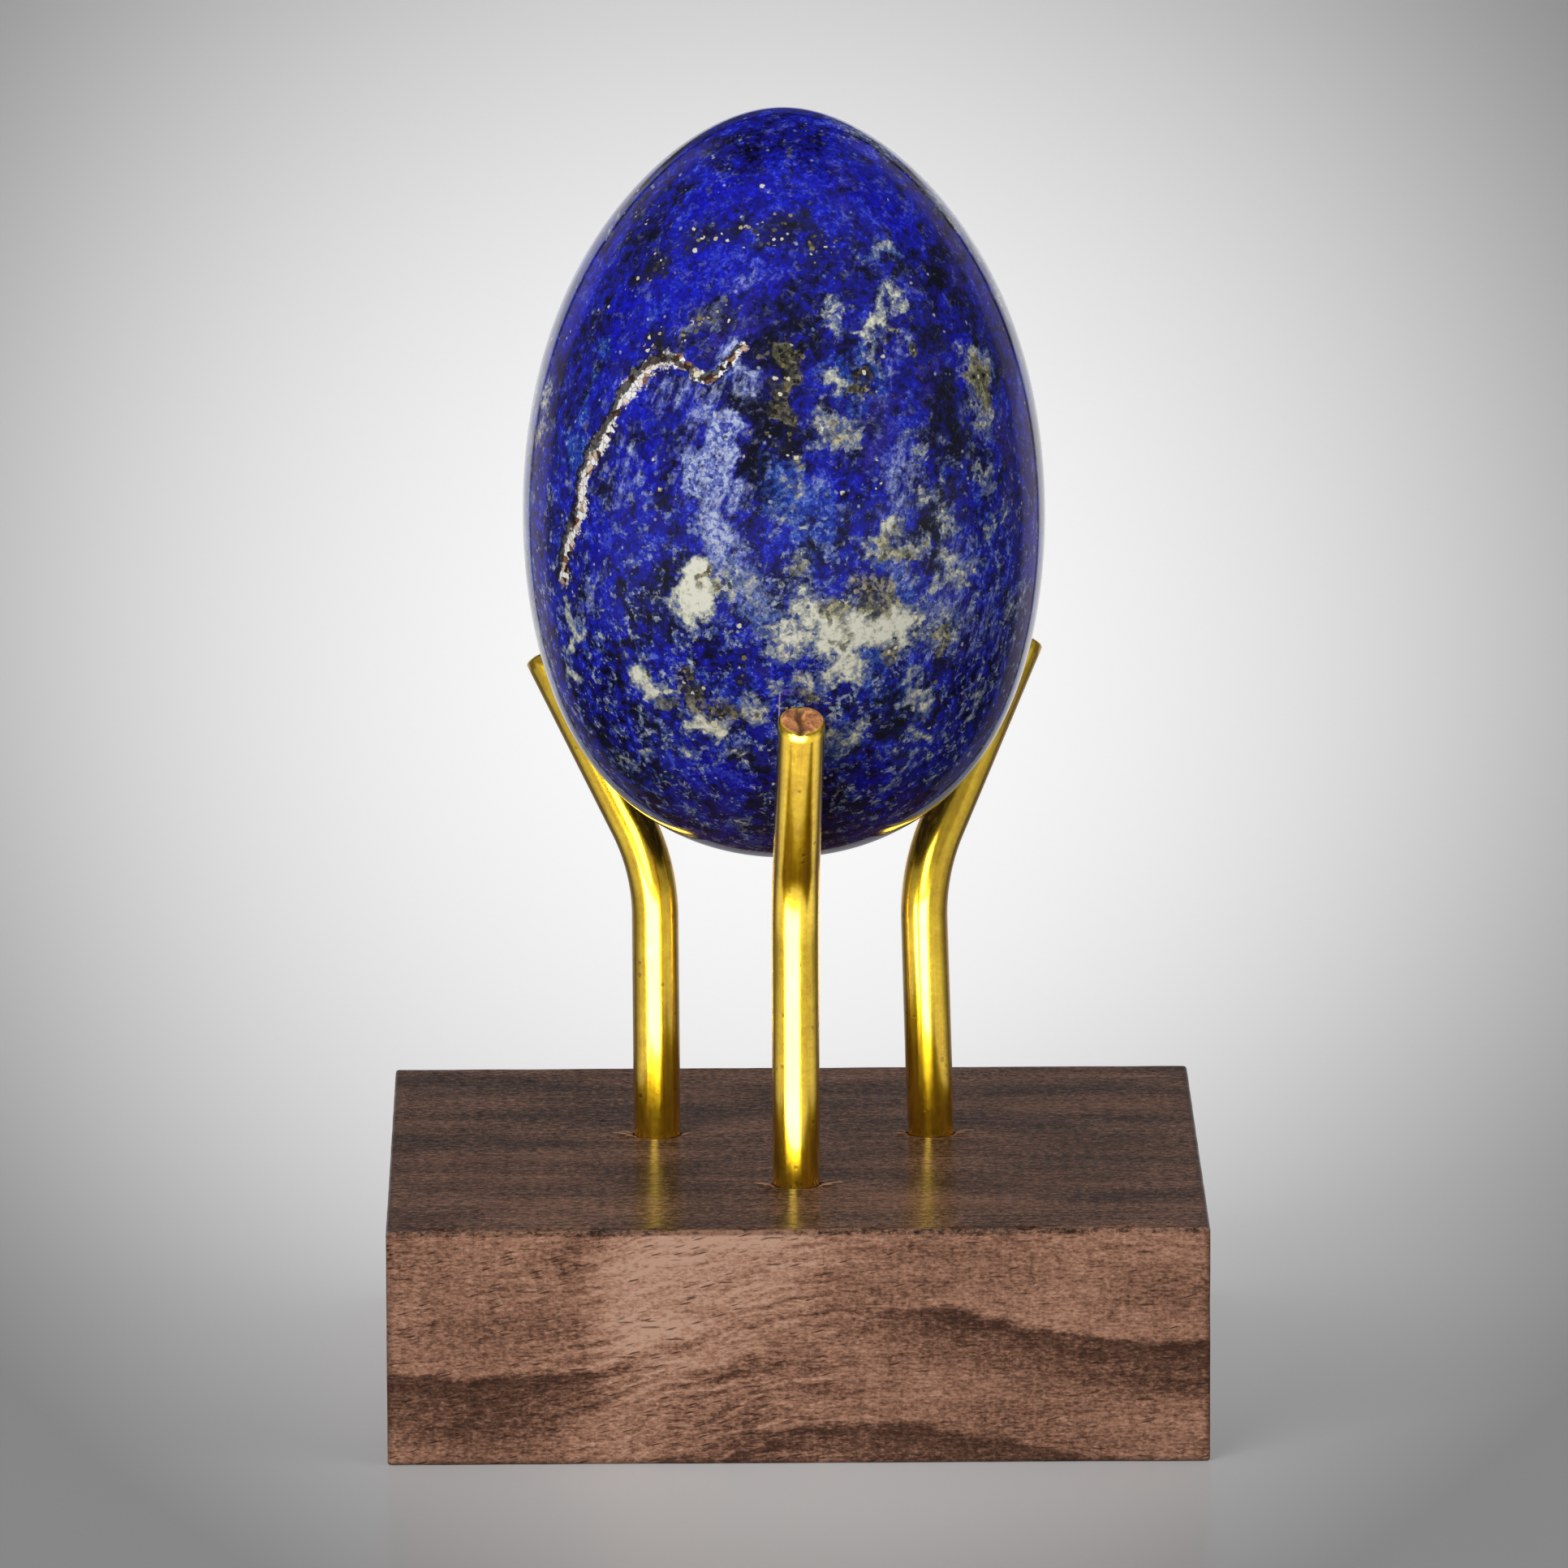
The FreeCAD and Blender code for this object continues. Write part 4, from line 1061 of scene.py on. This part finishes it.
def walnut(specks):
    """Walnut: rings that arch across the front, long streaks on the top, pores along the grain."""
    material, t, shader = new_material("oiled_walnut")
    low, high = BLOCK_BOX
    place = t.place_in_mm()
    x, y, z = t.parts(place)
    ring_height = front_ring_height(t, x)
    bent = t.warp(t.mapping(place, scale=(0.16, 0.5, 0.5)), 0.5, 0.5)
    wander = t.noise(bent, 1.0, 3, 0.55)
    depth_in_ring = t.plus(
        z, t.times(ring_height, -1.0), t.times(t.plus(y, 33.0), 0.62), t.around_zero(wander, 3.0),
    )

    def by_rings(across, along, deep):
        """A place that changes much with the depth in the rings and little along them."""
        return t.node("ShaderNodeCombineXYZ", {0: t.times(x, across), 1: t.times(y, along),
                                               2: t.times(depth_in_ring, deep)}).outputs[0]

    top = t.step(z, 19.4, 19.75)
    front = t.step(y, -32.2, -32.7)
    bands = t.noise(by_rings(0.02, 0.03, 1.0), 0.30, 4, 0.6)
    streaks = t.stretched(place, (0.09, 1.6, 1.6), 4, 0.68)
    cloud = t.stretched(place, (0.07, 0.16, 0.16), 3, 0.55)
    fibre = t.stretched(place, (1.1, 6.0, 6.0), 3, 0.7)
    crumble = t.noise(place, 1.5, 5, 0.78)
    nap = t.stretched(place, (2.6, 4.4, 4.4), 4, 0.75)
    sawn = t.stretched(place, (2.6, 2.6, 0.16), 3, 0.6)
    flat_grain = t.plus(t.around_zero(bands, 0.30), t.around_zero(streaks, 0.26), t.around_zero(fibre, 0.8),
                        t.around_zero(crumble, 0.55), t.around_zero(nap, 1.2), t.around_zero(sawn, 0.20))
    long_grain = t.plus(t.around_zero(bands, 0.3), t.around_zero(streaks, 0.6), t.around_zero(fibre, 1.0),
                        t.around_zero(crumble, 1.6), t.around_zero(nap, 1.4), t.around_zero(cloud, 0.4))
    grown = t.noise(by_rings(0.10, 0.06, 1.9), 1.0, 3, 0.65)
    arc_place = t.step(t.math("ABSOLUTE", t.plus(x, 8.0)), 17.0, 7.0)
    arc_share = t.plus(0.22, t.times(arc_place, 0.78))
    flat_grain = t.plus(flat_grain, t.times(t.around_zero(grown, 1.25), arc_share))
    mixed_grain = t.plus(t.times(flat_grain, t.plus(1.0, t.times(top, -1.0))), t.times(long_grain, top))
    tone = t.plus(0.54, t.around_zero(cloud, 0.55), t.times(mixed_grain, t.spread(top, 0, 1, 1.0, 1.4)))

    def ring_line(where, above, below, depth):
        """Darker wood that starts sharply at one depth in the rings and fades out below it."""
        rise = t.step(depth_in_ring, where + above, where)
        fade = t.step(depth_in_ring, where - below, where)
        return t.times(rise, fade, depth)

    left, right = t.step(x, -9.0, -19.0), t.step(x, 3.0, 16.0)
    lines = t.plus(
        ring_line(0.0, 0.35, 1.3, 0.14), t.times(ring_line(0.0, 0.9, 6.4, 0.26), left),
        t.times(ring_line(0.0, 0.8, 6.4, 0.34), right),
        t.times(ring_line(-3.4, 0.5, 1.2, 0.16), t.step(x, 17, 26)), ring_line(-10.3, 0.9, 5.0, 0.28),
    )
    tone = t.minus(tone, t.times(lines, t.step(y, 20.0, -20.0)))

    def blotch(middle_x, middle_z, reach_x, reach_z, strength):
        """A soft lighter or darker place on the front."""
        across, up = t.times(t.plus(x, -middle_x), 1 / reach_x), t.times(t.plus(z, -middle_z), 1 / reach_z)
        away = t.plus(t.times(across, across), t.times(up, up), t.around_zero(wander, 1.4))
        return t.times(t.step(away, 1.0, 0.1), strength, front)

    tone = t.plus(tone, *(blotch(*place_and_strength) for place_and_strength in FRONT_BLOTCHES))
    from_knot = t.plus(t.times(t.math("ABSOLUTE", t.plus(x, 16.2)), 0.28), t.times(t.plus(y, 33.5), 0.30))
    knot = t.step(t.plus(from_knot, t.around_zero(streaks, 1.2)), 1.0, 0.2)
    tone = t.minus(tone, t.times(knot, 0.32, top))
    # The top's colours, and those of its pores and flecks below, are darker than the front's: partly the wood's
    # own darker face, partly painted shade.
    front_wood = t.tones(tone, (
        (0.08, 70, 46, 36), (0.32, 108, 76, 60), (0.52, 152, 110, 89), (0.72, 184, 138, 113),
        (0.95, 208, 166, 142),
    ))
    top_wood_and_shade = t.tones(tone, (
        (0.1, 34, 23, 19), (0.36, 67, 45, 35), (0.6, 97, 66, 51), (0.9, 146, 106, 84),
    ))
    hue = t.stretched(place, (0.05, 0.14, 0.14), 2, 0.5)
    top_wood_and_shade = t.mix(t.times(t.step(hue, 0.50, 0.64), 0.22), top_wood_and_shade, paint(98, 60, 44))
    top_wood_and_shade = t.mix(t.times(t.step(hue, 0.46, 0.36), 0.16), top_wood_and_shade, paint(46, 40, 42))
    wood = t.mix(top, front_wood, top_wood_and_shade)

    def strewn(place, scale, size, share):
        """Small marks, stretched by the scale."""
        feeds = {"Place": t.mapping(place, scale=scale), "Size": size, "Share": share, "Softness": 0.2}
        return t.use(specks, feeds)["Mask"]

    tilted = t.mapping(place, turn=(0, math.radians(14), 0))
    pores = strewn(tilted, (0.36, 2.8, 2.8), 0.70, t.spread(t.step(x, 12.0, -4.0), 0, 1, 0.06, 0.34))
    level_pores = strewn(place, (0.30, 3.0, 3.0), 0.62, t.spread(top, 0, 1, 0.06, 0.24))
    pore_mask = t.times(t.math("MAXIMUM", pores, t.times(level_pores, 0.8)), 0.82)
    wood = t.mix(pore_mask, wood, t.mix(top, paint(62, 40, 32), paint(38, 27, 23)))
    flecks = strewn(place, (0.8, 1.6, 1.6), 0.5, 0.10)
    wood = t.mix(t.times(flecks, 0.22), wood, t.mix(top, paint(196, 156, 132), paint(140, 116, 102)))

    # Darker in patches along the side edges, and painted shade along the foot, where the block meets the floor.
    side_edge = t.step(t.math("ABSOLUTE", x), high.x / MM - 0.75, high.x / MM - 0.1)
    low_edge = t.step(z, 0.8, 0.1)
    dark_edges_and_foot_shade = t.times(t.math("MAXIMUM", side_edge, low_edge), t.step(crumble, 0.30, 0.62), 0.60)
    wood = t.mix(dark_edges_and_foot_shade, wood, paint(52, 36, 30))
    # Paler in patches along the upper front edge.
    front_edge = t.times(t.step(y, low.y / MM + 0.7, low.y / MM + 0.15), t.step(z, 19.55, 19.75))
    pale_front_edge = t.times(front_edge, t.step(crumble, 0.36, 0.70), 0.34)
    wood = t.mix(pale_front_edge, wood, paint(206, 164, 138))

    t.feed(shader.inputs["Base Color"], wood)
    t.feed(shader.inputs["Roughness"], t.plus(0.62, t.around_zero(fibre, 0.25), t.times(pore_mask, 0.2)))
    shader.inputs["Specular IOR Level"].default_value = 0.03
    oil = t.times(t.plus(0.28, t.around_zero(streaks, 0.24)), t.spread(pore_mask, 0, 0.6, 1.0, 0.2))
    t.feed(shader.inputs["Coat Weight"], oil)
    shader.inputs["Coat Roughness"].default_value = 0.23
    height = t.plus(t.around_zero(fibre, 0.8), t.times(pore_mask, -1.2), t.around_zero(streaks, 0.6))
    t.relief(shader, 0.5, 0.06, height)
    return material


# Floor and light

FLOOR_RADIUS = 6.0
# The pool of light on the floor: its middle and reach in pixels, and how it falls off.
POOL_MIDDLE, POOL_REACH, POOL_FALL_NEAR, POOL_FALL_FAR = (970, 758), 951.0, 0.595, 0.323
FLOOR_WHITE, FLOOR_DIMMEST = 0.985, 0.20
FLOOR_GLOW, FLOOR_MIRROR_DIM = 0.42, 0.65
# What polished things mirror in the floor's place: white far behind the object, dim sides and a pale front.
# Headings run from straight behind, in degrees, and each tone is a brightness and a tint.
ROOM_BY_HEADING = (
    (-180, (0.55, 0)), (-104, (0.55, 0)), (-88, (0.12, 0)), (-54, (0.12, 0)), (-50, (0.4, 1)),
    (-33, (0.4, 1)), (-32, (0.05, 0)), (-30, (0.05, 0)), (-28, (0.9, 0)), (28, (0.9, 0)), (30, (0.05, 0)),
    (32, (0.05, 0)), (33, (0.4, 1)), (50, (0.4, 1)), (54, (0.1, 0)), (88, (0.1, 0)), (104, (0.55, 0)),
    (180, (0.55, 0)),
)
# What they mirror above the floor, by how far back: -1 is straight in front and 1 straight behind.
ROOM_ABOVE = (
    (-1.0, (0.34, 0)), (0.05, (0.3, 0)), (0.12, (0.14, 0)), (0.62, (0.16, 0)), (0.66, (0.36, 1)),
    (0.83, (0.36, 1)), (0.85, (0.04, 0)), (0.87, (0.04, 0)), (0.885, (0.85, 0)), (1.0, (0.95, 0)),
)
# A dark window over the white behind the object: from what height, how wide, and its tone.
ROOM_DARK_FROM, ROOM_DARK_WIDE, ROOM_DARK_TONE = (0.10, 0.18), (0.46, 0.28), 0.10
ROOM_GREY = (0.46, 0.46, 0.46, 1)
# Name, heading, rise, distance, side and share of each lamp.
LAMPS = (("front_lamp", -32, 24, 1.6, 0.9, 0.55), ("side_lamp", 60, 40, 1.6, 0.9, 0.10))
LAMP_AIM = Vector((0, 0, 0.06))
# The white card on the floor in front, which only the rods mirror: its sides in degrees, and its ends.
CARD_LEFT, CARD_RIGHT, CARD_NEAR, CARD_FAR = (-54, -41), (22, 11), (0.060, 0.085), (0.46, 0.40)
CARD_STRENGTH, CARD_SIDE, CARD_PLACE = 13.0, 1.0, (0, 0, 0.5 * MM)
# Round it the card is dimmer: where that starts and ends, its sides and its share of the strength.
CARD_DIM_FROM, CARD_DIM_TO, CARD_DIM_WIDE, CARD_DIM_SHARE = (0.034, 0.046), (0.24, 0.10), (125, 85), 0.064
# A second card stands farther off and lights the arms that lean back.
TALL_CARD_STRENGTH, TALL_CARD_PLACE, TALL_CARD_SIZE = 5.5, (-0.15, -0.50, 0.24), (0.28, 0.44)
BLACK = (0, 0, 0, 1)


def grey(brightness, tint):
    """A grey of a plain brightness, which a tint of 1 turns to lavender."""
    return brightness * (1 + 0.02 * tint), brightness * (1 - 0.10 * tint), brightness * (1 + 0.35 * tint), 1


def floor_pool(t):
    """The floor's painted pool of light: white round the object and falling off outwards, as seen from the
    front.
    """
    eye, _, _, _ = camera_axes()
    x, y, _ = t.parts(t.node("ShaderNodeTexCoord").outputs["Object"])
    away = t.math("MAXIMUM", t.plus(y, -eye.y), 0.4)
    steep = t.math("DIVIDE", eye.z, away)
    level = math.tan(CAMERA_RISE)
    down = t.math("DIVIDE", t.minus(steep, level), t.plus(t.times(steep, level), 1.0))
    py = t.plus(t.times(down, FOCAL_PIXELS), PICTURE_SIDE / 2 - POOL_MIDDLE[1])
    px = t.times(t.math("DIVIDE", x, t.times(away, 1 / math.cos(CAMERA_RISE))), FOCAL_PIXELS)
    far = t.times(t.plus(t.times(px, px), t.times(py, py)), 1 / POOL_REACH ** 2)
    fall = t.plus(t.times(far, POOL_FALL_NEAR), t.times(t.math("POWER", far, 3.0), POOL_FALL_FAR))
    pool = t.math("DIVIDE", FLOOR_WHITE, t.plus(fall, 1.0))
    return t.math("MAXIMUM", pool, FLOOR_DIMMEST), x, y


def floor_paper():
    """Matt white paper with a faint sheen. Part of its tone doesn't hang on the lamps, so it stays white."""
    material, t, shader = new_material("white_paper_floor")
    tone, x, y = floor_pool(t)
    colour = t.node("ShaderNodeCombineColor", {0: tone, 1: tone, 2: t.times(tone, 1.003)}).outputs[0]
    shader.inputs["Roughness"].default_value = 0.34
    shader.inputs["Specular IOR Level"].default_value = 0.22
    path = t.node("ShaderNodeLightPath").outputs
    seen = t.math("MAXIMUM", path["Is Camera Ray"], path["Is Transmission Ray"])
    round_object = t.plus(t.times(t.math("ARCTAN2", x, y), 1 / math.tau), 0.5)
    mirrored = t.ramp(round_object, [((angle + 180) / 360, grey(*tone)) for angle, tone in ROOM_BY_HEADING])
    mirrored = t.mix(t.step(t.length(x, y), 0.26, 0.12, 0.0, FLOOR_MIRROR_DIM), mirrored, BLACK)
    t.feed(shader.inputs["Base Color"], t.mix(path["Is Glossy Ray"], colour, BLACK))
    t.feed(shader.inputs["Emission Color"], t.mix(path["Is Glossy Ray"], colour, mirrored))
    glow = t.math("MAXIMUM", t.times(seen, FLOOR_GLOW), path["Is Glossy Ray"])
    t.feed(shader.inputs["Emission Strength"], glow)
    return material


def add_floor():
    bm = bmesh.new()
    bmesh.ops.create_circle(bm, cap_ends=True, radius=FLOOR_RADIUS, segments=96)
    mesh = mesh_of(bm, "paper_floor", smooth=False)
    mesh.materials.append(floor_paper())
    floor = placed("paper_floor", mesh)


def add_world():
    """Even grey light from all round. Polished things mirror a room that is white behind and dim in front."""
    world = bpy.data.worlds.new("studio_room")
    world.use_nodes = True
    world.node_tree.nodes.clear()
    bpy.context.scene.world = world
    t = Tree(world.node_tree)
    x, y, z = t.parts(t.node("ShaderNodeTexCoord").outputs["Generated"])
    mirrored = t.ramp(t.spread(y, -1, 1), [((along + 1) / 2, grey(*tone)) for along, tone in ROOM_ABOVE])
    in_width = t.step(t.math("ABSOLUTE", x), *ROOM_DARK_WIDE)
    window = t.times(t.step(y, 0.0, 0.2), t.step(z, *ROOM_DARK_FROM), in_width)
    mirrored = t.mix(t.times(window, 1 - ROOM_DARK_TONE), mirrored, BLACK)
    path = t.node("ShaderNodeLightPath").outputs
    passed = t.math("MAXIMUM", path["Is Glossy Ray"], path["Is Transmission Ray"])
    seen = t.math("MAXIMUM", path["Is Camera Ray"], passed)
    light = t.mix(seen, ROOM_GREY, mirrored)
    background = t.node("ShaderNodeBackground", {0: light, 1: 1.0})
    t.node("ShaderNodeOutputWorld", {0: background.outputs[0]})


def add_lamp(name, heading, rise, distance, size, share):
    """A soft square lamp aimed at the egg. Its share is how bright it makes a white card that faces it."""
    data = bpy.data.lights.new(name, "AREA")
    data.shape, data.size = "SQUARE", size
    data.energy = share * math.pi ** 2 * distance ** 2
    lamp = placed(name, data)
    turn, lift = math.radians(heading), math.radians(rise)
    away = Vector((math.sin(turn) * math.cos(lift), -math.cos(turn) * math.cos(lift), math.sin(lift)))
    facing = away.to_track_quat("Z", "Y").to_matrix().to_4x4()
    lamp.matrix_world = Matrix.Translation(LAMP_AIM + away * distance) @ facing
    lamp.visible_glossy = False


def add_card(name, strength, size, place, turn, receivers):
    """A bright card that the camera doesn't see and that lights only the given things. Returns its lamp."""
    data = bpy.data.lights.new(name, "AREA")
    data.shape, (data.size, data.size_y) = "RECTANGLE", size
    data.energy = strength * math.pi * size[0] * size[1]
    card = placed(name, data)
    card.location, card.rotation_euler = place, (turn, 0, 0)
    card.visible_camera = False
    card.light_linking.receiver_collection = receivers
    return data


def add_cards(rods):
    """A fan of white that lies in front, and a card that stands. The rods mirror both as bright strips."""
    receivers = bpy.data.collections.new("rods_that_mirror_the_card")
    for rod in rods:
        receivers.objects.link(rod)
    lying = add_card("white_card", CARD_STRENGTH, (CARD_SIDE, CARD_SIDE), CARD_PLACE, math.pi, receivers)
    add_card("tall_card", TALL_CARD_STRENGTH, TALL_CARD_SIZE, TALL_CARD_PLACE, math.pi / 2, receivers)
    lying.use_nodes = True
    t = Tree(lying.node_tree)
    x, y, _ = t.parts(t.node("ShaderNodeNewGeometry").outputs["Position"])
    heading, radius = t.math("ARCTAN2", x, t.times(y, -1.0)), t.length(x, y)
    sides = t.times(*(t.step(heading, *map(math.radians, side)) for side in (CARD_LEFT, CARD_RIGHT)))
    ends = t.times(t.step(radius, *CARD_NEAR), t.step(radius, *CARD_FAR))
    wide = t.step(t.math("ABSOLUTE", heading), *map(math.radians, CARD_DIM_WIDE))
    dim = t.times(wide, t.step(radius, *CARD_DIM_FROM), t.times(t.step(radius, *CARD_DIM_TO), CARD_DIM_SHARE))
    light = t.math("MAXIMUM", t.times(sides, ends), dim)
    t.feed(lying.node_tree.nodes["Emission"].inputs["Strength"], light)


def main():
    add_camera()
    specks, mottle, ragged = specks_group(), mottle_group(), ragged_group()
    stone = egg_mesh()
    write_stone_fields(stone)
    new_piece("egg_stone", stone, lapis(specks, mottle, ragged), "egg", "blue_stone", "egg")
    metal = brass(specks, mottle)
    rods = [new_piece(f"{name}_bar", finished_rod_mesh(name, number), metal, "stand", "brass_rod", name)
            for number, name in enumerate(RODS)]
    wood = walnut(specks)
    new_piece("walnut_block", drilled(block_mesh()), wood, "stand", "walnut", "base_block")
    new_piece("torn_fibres", torn_fibres_mesh(), bare_fibres(mottle), "stand", "walnut")
    add_floor()
    add_world()
    add_cards(rods)
    for lamp in LAMPS:
        add_lamp(*lamp)
    scene = bpy.context.scene
    scene.view_settings.view_transform = "Standard"


main()
